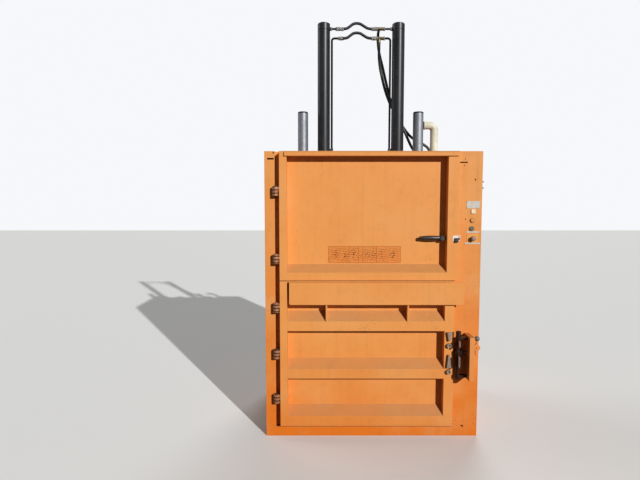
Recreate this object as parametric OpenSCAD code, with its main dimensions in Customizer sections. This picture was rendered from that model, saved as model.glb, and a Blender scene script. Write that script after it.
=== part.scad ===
// Vertical recycling baler: two hydraulic cylinders press a platen down into a chamber
// with a loading door above a bale door. Millimetres, front towards -Y, floor at z = 0.

/* [Body] */
// Width of the body across the post and the cabinet
body_w = 1718; // [1680:1:1760]
// Depth of the body without the doors
body_d = 1060; // [1050:1:1200]
// Height of the body without the cylinders
body_h = 2305; // [2290:1:2360]
// Height of the base frame
base_h = 75; // [60:1:78]
// Width of the left post's front face
left_post_w = 80; // [70:1:90]
// Width of the control cabinet's front face
cabinet_w = 207; // [200:1:230]
// Thickness of the cabinet's sheet
sheet_t = 5; // [3:1:8]

/* [Chamber] */
// Inner width of the chamber
chamber_w = 1260; // [1250:1:1275]
// Inner depth of the chamber
chamber_d = 900; // [850:1:905]
// Thickness of the chamber's wall plates
wall_t = 8; // [6:1:12]
// Height of the bars on the floor and under the platen
bar_t = 20; // [15:1:25]
// Width of a strap channel between two bars
channel_w = 42; // [30:1:60]
// Number of strap channels
channels = 5; // [3:1:7]

// Depth of the folded ribs on the back plate
rib_d = 110; // [80:1:112]

/* [Doors] */
// How far the doors stand in front of the posts
door_proud = 45; // [40:1:50]
// Depth of the recess in each door
recess_d = 75; // [60:1:80]
// Height of the joint between the two doors
split_z = 1285; // [1265:1:1310]
// Gap around the doors
door_gap = 6; // [5:1:8]
// Thickness of the doors' folded sheet
skin_t = 6; // [4:1:8]
// Width of a door's left stile
stile_l = 58; // [50:1:66]
// Distance between the saw-tooth ribs of the bale door
rib_pitch = 388; // [340:1:392]
// Height of a rib's flat front
rib_band = 78; // [50:1:86]
// Height of a rib's slope
rib_slope = 72; // [40:1:80]
// Height of the header beam on the bale door
header_h = 175; // [120:1:185]
// How far the header beam stands in front of the door
header_t = 30; // [20:1:36]

/* [Hinges and latch] */
// Radius of a hinge barrel
barrel_r = 26; // [22:1:28]
// Height of a hinge's two barrels together
barrel_h = 72; // [60:1:84]
// Radius of a hinge pin
hinge_pin_r = 12; // [9:1:15]
// Radius of the latch shaft
latch_r = 15; // [12:1:16]
// Reach of the latch claws from the shaft
claw_reach = 70; // [64:1:74]
// Width of the lock housing
housing_w = 38; // [32:1:42]
// How far the lock housing stands out
housing_d = 152; // [140:1:160]
// Stroke of the lock bolt
bolt_stroke = 14; // [8:1:15]

/* [Press] */
// Outer radius of a cylinder
cyl_r = 54; // [50:1:58]
// Inner radius of a cylinder
bore_r = 45; // [38:1:47]
// Radius of a piston rod
rod_r = 30; // [24:1:33]
// Distance from the chamber's centre to each cylinder
cyl_offset = 324; // [320:1:330]
// Outer radius of a guide tube
guide_r = 45; // [38:1:48]
// Distance from the chamber's centre to each guide tube
guide_offset = 507; // [500:1:515]
// Travel of the platen upwards from where it is parked
travel_up = 735; // [650:5:740]
// Travel of the platen downwards from where it is parked
travel_down = 270; // [200:5:275]
// Height of the platen
platen_h = 165; // [140:1:200]

/* [Controls] */
// Radius of a push button
button_r = 16; // [12:1:18]
// Travel of a push button
button_stroke = 4; // [3:1:5]
// Radius of the emergency stop's knob
estop_r = 19; // [16:1:22]

/* [Hidden] */
$fn = 64;

// Paint and metal colours
PAINT = [0.91, 0.56, 0.30];
WORN = [0.66, 0.60, 0.55];
BLACK = [0.12, 0.12, 0.13];
ZINC = [0.68, 0.70, 0.72];
CREAM = [0.84, 0.82, 0.72];
BRASS = [0.72, 0.60, 0.32];
PALE = [0.86, 0.86, 0.84];
YELLOW = [0.88, 0.68, 0.16];
GREY_RED = [0.62, 0.47, 0.43];

// Clearances: a running fit, a seat beside a moving piece, and a cut's overrun
fit = 0.05;
seat = 0.3;
over = 1;

// Main planes
left_x = -body_w / 2;
right_x = body_w / 2;
front_y = -body_d / 2;
back_y = body_d / 2;
open_l = left_x + left_post_w;
open_r = right_x - cabinet_w;
mid_x = (open_l + open_r) / 2;
chamber_l = mid_x - chamber_w / 2;
chamber_r = mid_x + chamber_w / 2;
cabinet_l = chamber_r + wall_t;
door_front = front_y - door_proud;
recess_y = door_front + recess_d;
skin_back = recess_y + skin_t;
seat_y = skin_back + door_gap;
chamber_back = seat_y + chamber_d;
press_y = (seat_y + chamber_back) / 2;
floor_z = base_h + bar_t;
foot_h = 50;
sill_hole = [85, base_h + 3];
deck_t = 8;
rail_w = 60;

// Doors
hinge_in = 9;
hinge_x = open_l + hinge_in;
hinge_y = front_y - barrel_r - 2;
door_l = hinge_x + barrel_r + 4;
lower_r = open_r - door_gap - 1;
lower_z0 = floor_z + door_gap;
lower_z1 = split_z - door_gap / 2;
upper_lap = 14;
upper_r = open_r + upper_lap;
upper_z0 = split_z + door_gap / 2;
upper_z1 = body_h - 3;
pan_l = door_l + stile_l;
lower_pan_in = 74.5;
upper_pan_in = 87.5;
lower_pan_r = lower_r - lower_pan_in;
upper_pan_r = upper_r - upper_pan_in;
flange_t = 5;
hood_h = 38;
hood_d = 12;
hood_in = 40;
sill_h = 63;
ledge_h = 60;
lap_gap = 3;
top_rail = 8;
header_z0 = lower_z1 - header_h - top_rail;
header_y = door_front - header_t;
header_in = 76;
header_short = 27;
header_l = door_l + header_in;
header_r = lower_r - header_short;
header_strap = 94;
header_corner = 14;
strap_t = 8;
upper_hinges = [1457, 1992];
lower_hinges = [322, 691, 1067];
gusset_t = 12;
gusset_offset = 323;

// Handle of the loading door
handle_in = 17;
handle_edge = 29;
handle_x = min(chamber_r - handle_in, upper_pan_r - handle_edge);
handle_z = 1622;
handle_l = 166;
handle_w = 20;
hub_r = 20;
hub_l = 50;
shaft_r = 10;
tongue_l = 56;
tongue_w = 26;
tongue_t = 8;
catch_gap = 3;
tongue_y = seat_y + wall_t + catch_gap;
catch_y = [seat_y + wall_t, tongue_y + tongue_t + catch_gap];
catch_z = [handle_z - tongue_l - 8, handle_z + tongue_w / 2 + 8];
actuator_z = 1610;

// Latch of the bale door
latch_in = 22;
latch_x = open_r + latch_in;
stud_x = latch_x - claw_reach + 2;
stud_r = 18;
stud_l = 22;
stud_zs = [554, 767];
wedges = [[[-16, 587], [18, 587], [6, 693], [-6, 693]], [[-6, 806], [6, 806], [22, 875], [-18, 875]]];
claw_t = 10;
claw_spans = [[614, 86], [776, 46]];
latch_y = door_front - stud_l - claw_t / 2 - 2;
bearing_t = 18;
bearing_zs = [520, 826];
bearing_r = 22;
socket_r = 20;
socket_l = 44;
shaft_top = bearing_zs[1] + bearing_t + seat + socket_l;
collar_z = 706;
collar_h = 26;
collar_r = 46;
collar_hub = 24;
notch_r = 29;
notch_play = 2.6;
bolt_r = 8;
bolt_z = collar_z + collar_h / 2;
housing_reach = 68;
housing_x = latch_x + housing_reach;
housing_z0 = 510;
housing_h = 347;
housing_t = 6;
pivot_reach = 32;
pivot_x = housing_x + housing_w + pivot_reach;
pivot_z = bolt_z + 45;
pivot_r = 8;
boss_r = 16;
lever_t = 12;
lever_y = latch_y - 28;
slide_pin_r = 5;
slide_block = [24, 24, 30];
knob_r = 20;
knob_rise = 73;

// Press
crosshead_h = 180;
crosshead_d = 280;
crosshead_z = body_h - crosshead_h;
piston_h = 45;
flange_h = 25;
flange_w = 150;
gland_h = 20;
bore_z0 = body_h + gland_h;
piston_z = bore_z0 + 7 + travel_down;
cap_h = 60;
cap_z = piston_z + piston_h + travel_up + 8;
cap_chamfer = 5;
cyl_top = cap_z + cap_h;
rod_foot_r = 60;
rod_foot_h = 20;
platen_top = crosshead_z - travel_up - rod_foot_h - 8;
platen_z = platen_top - platen_h;
platen_edge = 10;
platen_front = tongue_y + tongue_t + 12;
plate_t = 12;
web_t = 8;
guide_wall = 5;
guide_cap_h = 14;
guide_rest = 108;
guide_top = body_h + travel_down + guide_rest;
flange_bolt_r = 9;
bolt_head_r = 15;
bolt_head_h = 11;
bolt_pitch = 115;
cyl_xs = [mid_x - cyl_offset, mid_x + cyl_offset];
guide_xs = [mid_x - guide_offset, mid_x + guide_offset];

// Hydraulic lines
upper_port_drop = 43;
lower_port_drop = 123;
upper_line_z = cyl_top - upper_port_drop;
lower_line_z = cyl_top - lower_port_drop;
port_r = 17;
port_l = 4;
pipe_r = 9;
pipe_gap = 7;
pipe_bend = 22;
pipe_x = cyl_r + pipe_gap + pipe_r;
foot_block = [24, 26, 30];
foot_block_z = body_h + flange_h + 20;
ferrule_r = 15;
tee_r = 14;
hose_l = -216;
hose_end = 26;
tee_x = [62, 131];
tee_branch_x = 94;
hose_r = 12;
hose_sides = 10;
cable_r = 8;
bulkhead = [[552, 34], [600, 84]];
bulkhead_h = 31;
gland_pos = [452, 172];
gland_r = 16;
elbow_x = 634;
elbow_y = 170;
elbow_r = 36;
elbow_wall = 4;
elbow_z = 2615;
elbow_bend = 50;
elbow_mouth = 536;

// Hose routes, round numbers chosen by hand: x, y, z
upper_route = [[-216, -38, 3407], [-185, -38, 3413], [-159, -38, 3430], [-133, -38, 3448],
    [-103, -38, 3454], [-69, -38, 3448], [-39, -38, 3430], [-8, -38, 3413], [26, -38, 3407]];
lower_route = [[-216, -38, 3327], [-185, -38, 3333], [-159, -38, 3350], [-133, -38, 3368],
    [-103, -38, 3374], [-69, -38, 3368], [-39, -38, 3350], [-8, -38, 3333], [26, -38, 3327]];
pressure_route = [[94, 0, 3407], [94, 37, 3400], [95, 68, 3379], [97, 89, 3348],
    [101, 96, 3308], [109, 98, 3255], [123, 98, 3195], [141, 96, 3125], [160, 94, 3045],
    [180, 90, 2960], [202, 88, 2870], [228, 84, 2790], [262, 80, 2710], [302, 76, 2630],
    [346, 70, 2560], [396, 64, 2500], [450, 58, 2462], [505, 58, 2432], [550, 58, 2400], [570, 58, 2365],
    [576, 58, 2336]];
return_route = [[94, -38, 3291], [94, -34, 3262], [96, -12, 3222], [102, 22, 3170],
    [114, 46, 3100], [132, 52, 3020], [154, 50, 2930], [180, 48, 2850], [214, 46, 2770],
    [256, 44, 2695], [298, 42, 2620], [338, 38, 2540], [372, 34, 2462], [404, 34, 2398],
    [440, 36, 2352], [482, 42, 2329], [520, 52, 2322], [552, 58, 2322]];
cable_route = [[566, 170, 2608], [540, 170, 2605], [515, 170, 2594], [494, 170, 2573],
    [480, 170, 2542], [472, 170, 2500], [464, 170, 2440], [457, 171, 2385], [452, 172, 2331]];

// Controls on the cabinet's front: distance from the right edge, height
label_pos = [68, 1886];
label_size = [104, 57];
lamp_pos = [68, 1833];
lamp_size = 32;
lamp_d = 8;
start_pos = [72, 1764];
second_pos = [77, 1698];
bezel_r = 21;
bezel_t = 6;
button_rise = 11;
button_l = 26;
strip_pos = [[67, 1670], [70, 1580]];
strip_size = [[100, 13], [122, 11]];
switch_pos = [180, 1623];
switch_size = [30, 48];
estop_pos = [69, 1620];
estop_plate_size = [90, 68];
estop_stem_r = 11;
estop_rise = 40;
estop_head = 20;
estop_stroke = 6;
plate_thin = 2;
slot_in = 10;
slot_drop = 92;
slot_l = 77;
slot_h = 9;
spare_hole = [56, 223, 6];
pilot_hole = [128, 8, 4];

// Service cover and cleat on the cabinet's side
service_in = 190;
service_y0 = front_y + service_in;
service_l = 620;
service_z0 = 1120;
service_h = 860;
service_lap = 14;
service_t = 3;
cleat = [21, 50, 58];
cleat_z = 2014;
cleat_t = 9;
cleat_y = front_y + 32;

// A 2D strip of sheet along a path, with its thickness on the path's left
function unit(v) = v / norm(v);
function left_of(v) = [-v[1], v[0]];
function mitre(a, b, c) = let (s = left_of(unit(b - a)) + left_of(unit(c - b))) s * 2 / (s * s);
function normal_at(p, i) =
    i == 0 ? left_of(unit(p[1] - p[0])) :
    i == len(p) - 1 ? left_of(unit(p[i] - p[i - 1])) :
    mitre(p[i - 1], p[i], p[i + 1]);
function flipped(p) = [for (i = [len(p) - 1 : -1 : 0]) p[i]];
module folded(p, t) {
    polygon(concat(p, flipped([for (i = [0 : len(p) - 1]) p[i] + t * normal_at(p, i)])));
}

// Extrudes a profile drawn in (y, z) along X from x0 to x1
module along_x(x0, x1) {
    translate([x0, 0, 0]) rotate([90, 0, 90]) linear_extrude(x1 - x0) children();
}

// Extrudes a profile drawn in (x, z) from y0 backwards to y1
module along_y(y0, y1) {
    translate([0, y1, 0]) rotate([90, 0, 0]) linear_extrude(y1 - y0) children();
}

// A block between two corners
module block(a, b) {
    translate(a) cube(b - a);
}

// Round bars along X, Y and Z from a point
module bar_x(p, r, l) {
    translate(p) rotate([0, 90, 0]) cylinder(r = r, h = l);
}
module bar_y(p, r, l) {
    translate(p) rotate([-90, 0, 0]) cylinder(r = r, h = l);
}
module bar_z(p, r, l) {
    translate(p) cylinder(r = r, h = l);
}

// A rectangle with round corners
module round_rect(a, b, r) {
    translate([a[0] + r, a[1]]) square([b[0] - a[0] - 2 * r, b[1] - a[1]]);
    translate([a[0], a[1] + r]) square([b[0] - a[0], b[1] - a[1] - 2 * r]);
    for (x = [a[0] + r, b[0] - r], z = [a[1] + r, b[1] - r]) translate([x, z]) circle(r);
}

// A hose: one tube swept along its route's own points, its ends square to their fittings
function tangent(p, i, ends) = i == 0 ? ends[0] : i == len(p) - 1 ? ends[1] : unit(p[i + 1] - p[i - 1]);
function side_of(t) = unit(cross(t, abs(t[1]) > 0.9 ? [1, 0, 0] : [0, 1, 0]));
function ring(c, u, v, r) = [for (k = [0 : hose_sides - 1])
    let (a = 360 * k / hose_sides) c + r * (cos(a) * u + sin(a) * v)];
function carry(u, t) = unit(u - (u * t) * t);
function frames(p, ends, i, u) = i == len(p) ? [] :
    let (t = tangent(p, i, ends), w = carry(u, t)) concat([[w, cross(t, w)]], frames(p, ends, i + 1, w));
module hose(p, r, ends) {
    n = len(p);
    f = frames(p, ends, 0, side_of(ends[0]));
    points = [for (i = [0 : n - 1]) each ring(p[i], f[i][0], f[i][1], r)];
    sides = [for (i = [0 : n - 2], k = [0 : hose_sides - 1])
        let (a = i * hose_sides + k, b = i * hose_sides + (k + 1) % hose_sides)
        [a, a + hose_sides, b + hose_sides, b]];
    first = [for (k = [0 : hose_sides - 1]) k];
    last = [for (k = [hose_sides - 1 : -1 : 0]) (n - 1) * hose_sides + k];
    polyhedron(points, concat(sides, [first], [last]));
}

// Bars with strap channels between them
module strap_bars(x0, x1, y0, y1, z) {
    w = (x1 - x0 - channels * channel_w) / (channels + 1);
    for (i = [0 : channels]) translate([x0 + i * (w + channel_w), y0, z]) cube([w, y1 - y0, bar_t]);
}

module base_frame() {
    color(PAINT) difference() {
        block([left_x, front_y, 0], [right_x, back_y, base_h]);
        for (s = [[left_x + rail_w, -rail_w / 2], [rail_w / 2, right_x - rail_w]])
            block([s[0], front_y + rail_w, -over], [s[1], back_y - rail_w, base_h - deck_t]);
        bar_y([open_r + sill_hole[0], front_y - over, sill_hole[1]], 12, sheet_t + over);
    }
}

module floor_bars() {
    color(PAINT) strap_bars(chamber_l, chamber_r, seat_y, chamber_back, base_h);
}

module left_side() {
    slot_w = 52;
    slot_z = body_h - 66;
    slot_h = 13;
    cut = 22;
    t = sheet_t;
    outer = [[left_x, back_y], [left_x, front_y], [open_l, front_y], [open_l, seat_y],
        [chamber_l, seat_y], [chamber_l, back_y]];
    inner = [[left_x + t, back_y - t], [left_x + t, front_y + t], [open_l - t, front_y + t],
        [open_l - t, seat_y + t], [chamber_l - wall_t, seat_y + t], [chamber_l - wall_t, back_y - t]];
    color(PAINT) difference() {
        translate([0, 0, base_h]) linear_extrude(body_h - base_h) polygon(outer);
        translate([0, 0, base_h - over]) linear_extrude(body_h - base_h - t + over) polygon(inner);
        block([open_l - 6 - slot_w, front_y - over, slot_z],
            [open_l - 6, front_y + t + over, slot_z + slot_h]);
        along_y(front_y - over, front_y + t) polygon([[open_l + over, body_h - cut * 1.5],
            [open_l + over, body_h + over], [open_l - cut, body_h + over], [open_l - cut, body_h]]);
    }
}

// The wall's plate, and the jamb bar that the handle's tongue catches behind
module chamber_right_wall() {
    color(PAINT) {
        block([chamber_r, seat_y, base_h], [cabinet_l, catch_y[0], body_h]);
        block([chamber_r, catch_y[1], base_h], [cabinet_l, back_y, body_h]);
    }
}

// Spacer strips between jamb bar and plate, which leave a window for the tongue
module jamb_spacers() {
    for (z = [[base_h, catch_z[0]], [catch_z[1], body_h]])
        block([chamber_r, catch_y[0], z[0]], [cabinet_l, catch_y[1], z[1]]);
}

// The cabinet's folded front, with a plate of its own at the foot
module cabinet_front() {
    path = [[cabinet_l, seat_y], [open_r, seat_y], [open_r, front_y], [right_x, front_y]];
    holes = [[18, 64], [67, 61], [20, 111], [63, 111]];
    deep = sheet_t + 2 * over;
    y = front_y - over;
    color(PAINT) jamb_spacers();
    color(PAINT) difference() {
        block([open_r, front_y, base_h], [right_x, front_y + sheet_t, base_h + foot_h - over]);
        bar_y([open_r + sill_hole[0], y, sill_hole[1]], 12, deep);
    }
    color(PAINT) difference() {
        translate([0, 0, base_h]) linear_extrude(body_h - base_h) folded(path, sheet_t);
        block([open_r - over, y, base_h - over], [right_x + over, y + deep - over, base_h + foot_h]);
        block([open_r + slot_in, y, body_h - slot_drop],
            [open_r + slot_in + slot_l, y + deep, body_h - slot_drop + slot_h]);
        for (h = holes) bar_y([open_r + h[0], y, body_h - h[1]], 4, deep);
        bar_y([right_x - spare_hole[0], y, body_h - spare_hole[1]], spare_hole[2], deep);
        bar_y([right_x - pilot_hole[0], y, start_pos[1] + pilot_hole[1]], pilot_hole[2], deep);
        for (b = [start_pos, second_pos]) bar_y([right_x - b[0], y, b[1]], button_r + over, deep);
        bar_y([right_x - estop_pos[0], y, estop_pos[1]], estop_stem_r + over, deep);
    }
}

module cabinet_side() {
    x = right_x - sheet_t;
    color(PAINT) difference() {
        block([x, front_y + sheet_t, base_h], [right_x, back_y - sheet_t, body_h]);
        block([x - over, service_y0 + service_lap, service_z0 + service_lap],
            [right_x + over, service_y0 + service_l - service_lap,
            service_z0 + service_h - service_lap]);
    }
}

module cabinet_back() {
    vent_h = 12;
    vent_in = 60;
    vent_z = 420;
    y = back_y - sheet_t;
    color(PAINT) difference() {
        block([cabinet_l, y, base_h], [right_x, back_y, body_h]);
        for (i = [0 : 7]) translate([cabinet_l + vent_in, y - over, vent_z + i * vent_h * 2.8])
            cube([right_x - cabinet_l - 2 * vent_in, sheet_t + 2 * over, vent_h]);
    }
}

module back_plate() {
    color(PAINT) block([chamber_l, chamber_back, base_h], [chamber_r, chamber_back + wall_t, body_h]);
}

module back_ribs() {
    count = 5;
    w = 80;
    y = chamber_back + wall_t;
    y1 = y + rib_d;
    color(PAINT) for (i = [0 : count - 1]) {
        x = chamber_l + i * (chamber_w - w) / (count - 1);
        translate([0, 0, base_h]) linear_extrude(body_h - base_h)
            folded([[x + w, y], [x + w, y1], [x, y1], [x, y]], skin_t);
    }
}

module lintel() {
    h = 60;
    d = 90;
    top = body_h - sheet_t;
    color(PAINT) along_x(chamber_l, chamber_r) folded([[seat_y, top], [seat_y, body_h - h],
        [seat_y + d, body_h - h], [seat_y + d, top]], sheet_t);
}

module crosshead() {
    y0 = press_y - crosshead_d / 2;
    y1 = press_y + crosshead_d / 2;
    wall = 15;
    plate = 20;
    color(PAINT) difference() {
        union() {
            block([chamber_l, y0, crosshead_z], [chamber_r, y1, crosshead_z + plate]);
            block([chamber_l, y0, body_h - plate], [chamber_r, y1, body_h]);
            for (y = [y0, y1 - wall]) block([chamber_l, y, crosshead_z], [chamber_r, y + wall, body_h]);
            for (x = cyl_xs) bar_z([x, press_y, crosshead_z], rod_r + 18, crosshead_h);
            for (x = guide_xs) bar_z([x, press_y, crosshead_z], guide_r + 12, crosshead_h);
        }
        for (x = cyl_xs) bar_z([x, press_y, crosshead_z - over], rod_r + 3, crosshead_h + 2 * over);
        for (x = guide_xs)
            bar_z([x, press_y, crosshead_z - over], guide_r + fit, crosshead_h + 2 * over);
    }
}

module roof_plates() {
    z = body_h - sheet_t;
    color(PAINT) {
        block([chamber_l, seat_y, z], [chamber_r, press_y - crosshead_d / 2, body_h]);
        block([chamber_l, press_y + crosshead_d / 2, z], [chamber_r, chamber_back, body_h]);
    }
}

module cabinet_roof() {
    t = sheet_t;
    color(PAINT) linear_extrude_at(body_h - t, body_h) polygon([[cabinet_l, seat_y + t],
        [open_r + t, seat_y + t], [open_r + t, front_y + t], [right_x - t, front_y + t],
        [right_x - t, back_y - t], [cabinet_l, back_y - t]]);
}
module linear_extrude_at(z0, z1) {
    translate([0, 0, z0]) linear_extrude(z1 - z0) children();
}

// A cylinder's barrel with its foot flange and its lower port
module barrel(x, side) {
    h = flange_w / 2;
    color(BLACK) difference() {
        union() {
            bar_z([x, press_y, body_h], cyl_r, cap_z - body_h);
            block([x - h, press_y - h, body_h], [x + h, press_y + h, body_h + flange_h]);
            bar_x([min(x, x + side * (cyl_r + port_l)), press_y, foot_block_z + foot_block[2] / 2],
                pipe_r + 3, cyl_r + port_l);
        }
        bar_z([x, press_y, bore_z0], bore_r, cap_z);
        bar_z([x, press_y, body_h - over], rod_r + fit, gland_h + 2 * over);
        for (p = bolt_points(x)) bar_z([p[0], p[1], body_h - over], flange_bolt_r + seat,
            flange_h + 2 * over);
    }
}
function bolt_points(x) = [for (i = [-1, 1], j = [-1, 1])
    [x + i * bolt_pitch / 2, press_y + j * bolt_pitch / 2]];

module left_cylinder() {
    barrel(cyl_xs[0], 1);
}

module right_cylinder() {
    barrel(cyl_xs[1], -1);
}

module cylinder_caps() {
    groove = 3;
    color(BLACK) for (i = [0, 1]) {
        translate([cyl_xs[i], press_y, cap_z]) rotate_extrude() polygon([[0, 0],
            [cyl_r - groove, 0], [cyl_r - groove, groove], [cyl_r, groove],
            [cyl_r, cap_h - cap_chamfer], [cyl_r - cap_chamfer, cap_h], [0, cap_h]]);
        bar_x([i == 0 ? cyl_xs[0] : cyl_xs[1] - cyl_r - port_l, press_y, upper_line_z],
            port_r, cyl_r + port_l);
    }
}

module flange_bolts() {
    color(ZINC) for (x = cyl_xs, p = bolt_points(x)) {
        bar_z([p[0], p[1], body_h], flange_bolt_r, flange_h);
        translate([p[0], p[1], body_h + flange_h]) cylinder(r = bolt_head_r, h = bolt_head_h,
            $fn = 6);
    }
}

// A rod-end pipe: up beside the barrel, then bent over to the lower line
module rod_end_pipe(x, side, end) {
    z0 = foot_block_z + foot_block[2];
    z1 = lower_line_z - pipe_bend;
    bar_z([x, press_y, z0], pipe_r, z1 - z0);
    translate([x, press_y, z1]) mirror([side < 0 ? 1 : 0, 0, 0]) translate([pipe_bend, 0, 0])
        rotate([90, 0, 0]) rotate([0, 0, 90]) rotate_extrude(angle = 90)
        translate([pipe_bend, 0]) circle(pipe_r);
    a = x + side * pipe_bend;
    bar_x([min(a, end), press_y, lower_line_z], pipe_r, abs(end - a));
}

module rod_end_pipes() {
    color(BLACK) {
        rod_end_pipe(cyl_xs[0] + pipe_x, 1, hose_l - 34);
        rod_end_pipe(cyl_xs[1] - pipe_x, -1, tee_x[1]);
    }
}

module line_fittings() {
    stub = [cyl_xs[0] + cyl_r + port_l, hose_l - 70];
    color(ZINC) {
        bar_x([stub[0], press_y, upper_line_z], pipe_r, stub[1] - stub[0]);
        bar_x([stub[1], press_y, upper_line_z], ferrule_r, hose_l - stub[1]);
        bar_x([hose_l - 34, press_y, lower_line_z], ferrule_r, 34);
        for (z = [upper_line_z, lower_line_z])
            bar_x([hose_end, press_y, z], ferrule_r, tee_x[0] - hose_end);
        bar_x([tee_x[1], press_y, upper_line_z], pipe_r, cyl_xs[1] - cyl_r - port_l - tee_x[1]);
        for (i = [0, 1]) {
            x = cyl_xs[i] + (i == 0 ? cyl_r + port_l : -cyl_r - port_l - foot_block[0]);
            translate([x, press_y - foot_block[1] / 2, foot_block_z]) cube(foot_block);
        }
    }
}

module brass_tees() {
    color(BRASS) {
        bar_x([tee_x[0], press_y, upper_line_z], tee_r, tee_x[1] - tee_x[0]);
        bar_y([tee_branch_x, press_y, upper_line_z], hose_r, pressure_route[0][1] - press_y);
        bar_x([tee_x[0], press_y, lower_line_z], tee_r, tee_x[1] - tee_x[0]);
        bar_z([tee_branch_x, press_y, return_route[0][2]], hose_r,
            lower_line_z - return_route[0][2]);
    }
}

module upper_hose() {
    color(BLACK) hose(upper_route, hose_r, [[1, 0, 0], [1, 0, 0]]);
}

module lower_hose() {
    color(BLACK) hose(lower_route, hose_r, [[1, 0, 0], [1, 0, 0]]);
}

module pressure_hose() {
    color(BLACK) hose(pressure_route, hose_r, [[0, 1, 0], [0, 0, -1]]);
}

module return_hose() {
    color(BLACK) hose(return_route, hose_r, [[0, 0, -1], [1, 0, 0]]);
}

module hose_bulkhead() {
    color(ZINC) {
        block([bulkhead[0][0], bulkhead[0][1], body_h],
            [bulkhead[1][0], bulkhead[1][1], body_h + bulkhead_h]);
        bar_z([gland_pos[0], gland_pos[1], body_h], gland_r, cable_route[8][2] - body_h);
    }
}

module conduit_elbow() {
    foot_r = 52;
    collar = 12;
    t = elbow_wall;
    x1 = elbow_x - elbow_bend;
    z1 = elbow_z - elbow_bend;
    color(CREAM) difference() {
        union() {
            bar_z([elbow_x, elbow_y, body_h], elbow_r, z1 - body_h);
            bar_z([elbow_x, elbow_y, body_h], foot_r, 8);
            elbow_turn(x1, z1, elbow_r);
            bar_x([elbow_mouth, elbow_y, elbow_z], elbow_r, x1 - elbow_mouth);
            bar_x([elbow_mouth, elbow_y, elbow_z], elbow_r + 3, collar);
        }
        bar_z([elbow_x, elbow_y, body_h - over], elbow_r - t, z1 - body_h + over);
        elbow_turn(x1, z1, elbow_r - t);
        bar_x([elbow_mouth - over, elbow_y, elbow_z], elbow_r - t, x1 - elbow_mouth + over);
    }
}
module elbow_turn(x, z, r) {
    translate([x, elbow_y, z]) rotate([90, 0, 0]) rotate_extrude(angle = 90)
        translate([elbow_bend, 0]) circle(r);
}

module conduit_cable() {
    color(BLACK) hose(cable_route, cable_r, [[-1, 0, 0], [0, 0, -1]]);
}

// The post's half of each hinge, with the pin standing in it
module hinge_seats() {
    half = barrel_h / 2;
    head = 5;
    color(WORN) for (z = concat(upper_hinges, lower_hinges)) {
        difference() {
            union() {
                bar_z([hinge_x, hinge_y, z - half], barrel_r, half - seat);
                block([hinge_x - barrel_r, hinge_y, z - half], [hinge_x + 14, front_y, z - seat]);
            }
            bar_z([hinge_x, hinge_y, z - half - over], hinge_pin_r + fit, barrel_h);
        }
        bar_z([hinge_x, hinge_y, z - half], hinge_pin_r, barrel_h + seat);
        bar_z([hinge_x, hinge_y, z + half + seat], hinge_pin_r + 5, head);
    }
}

// The door's half of each hinge, with its leaf on the door's edge
module door_barrels(zs) {
    half = barrel_h / 2;
    leaf = 27;
    color(WORN) for (z = zs) difference() {
        union() {
            bar_z([hinge_x, hinge_y, z + seat], barrel_r, half - seat);
            block([hinge_x, door_front, z + seat], [door_l, door_front + leaf, z + half]);
        }
        bar_z([hinge_x, hinge_y, z - over], hinge_pin_r + fit, barrel_h);
    }
}

module panel_plates() {
    places = [[label_pos, label_size], [strip_pos[0], strip_size[0]],
        [strip_pos[1], strip_size[1]], [switch_pos, switch_size]];
    color(PALE) for (p = places)
        translate([right_x - p[0][0] - p[1][0] / 2, front_y - plate_thin, p[0][1] - p[1][1] / 2])
        cube([p[1][0], plate_thin, p[1][1]]);
}

module panel_lamp() {
    h = lamp_size / 2;
    x = right_x - lamp_pos[0];
    color(PALE) along_y(front_y - lamp_d, front_y)
        round_rect([x - h, lamp_pos[1] - h], [x + h, lamp_pos[1] + h], 3);
}

module estop_plate() {
    x = right_x - estop_pos[0];
    w = estop_plate_size / 2;
    color(YELLOW) difference() {
        along_y(front_y - plate_thin, front_y)
            round_rect([x - w[0], estop_pos[1] - w[1]], [x + w[0], estop_pos[1] + w[1]], 8);
        bar_y([x, front_y - 10, estop_pos[1]], estop_stem_r + over, 20);
    }
}

// Bezels of the two buttons, and the emergency stop's collar
module button_bezels() {
    color(ZINC) {
        for (b = [start_pos, second_pos]) difference() {
            bar_y([right_x - b[0], front_y - bezel_t, b[1]], bezel_r, bezel_t);
            bar_y([right_x - b[0], front_y - bezel_t - over, b[1]], button_r + fit, bezel_t + 2 * over);
        }
        difference() {
            x = right_x - estop_pos[0];
            bar_y([x, front_y - plate_thin - bezel_t, estop_pos[1]], estop_stem_r + 5, bezel_t);
            bar_y([x, front_y - 20, estop_pos[1]], estop_stem_r + fit, 30);
        }
    }
}

// The lock's fixed box, with the lever's pivot stud beside it
module lock_housing() {
    t = housing_t;
    x1 = housing_x + housing_w;
    y0 = front_y - housing_d;
    z1 = housing_z0 + housing_h;
    color(PAINT) {
        difference() {
            block([housing_x, y0, housing_z0], [x1, front_y, z1]);
            block([housing_x + t, y0 + t, housing_z0 - over], [x1 - t, front_y - t, z1 - t]);
            bar_x([housing_x - over, latch_y, bolt_z], bolt_r + fit, housing_w + 2 * over);
        }
        bar_y([pivot_x, lever_y + lever_t / 2 + seat, pivot_z], boss_r,
            front_y - lever_y - lever_t / 2 - seat);
        bar_y([pivot_x, lever_y - lever_t, pivot_z], pivot_r,
            lever_t * 1.5 + seat);
    }
}

// Two bearing arms that carry the latch shaft from the lock's box
module latch_bearings() {
    color(PAINT) for (z = bearing_zs) difference() {
        union() {
            bar_z([latch_x, latch_y, z], bearing_r, bearing_t);
            block([latch_x, latch_y - bearing_r, z], [housing_x, latch_y + bearing_r, z + bearing_t]);
        }
        bar_z([latch_x, latch_y, z - over], latch_r + fit, bearing_t + 2 * over);
    }
}

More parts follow.
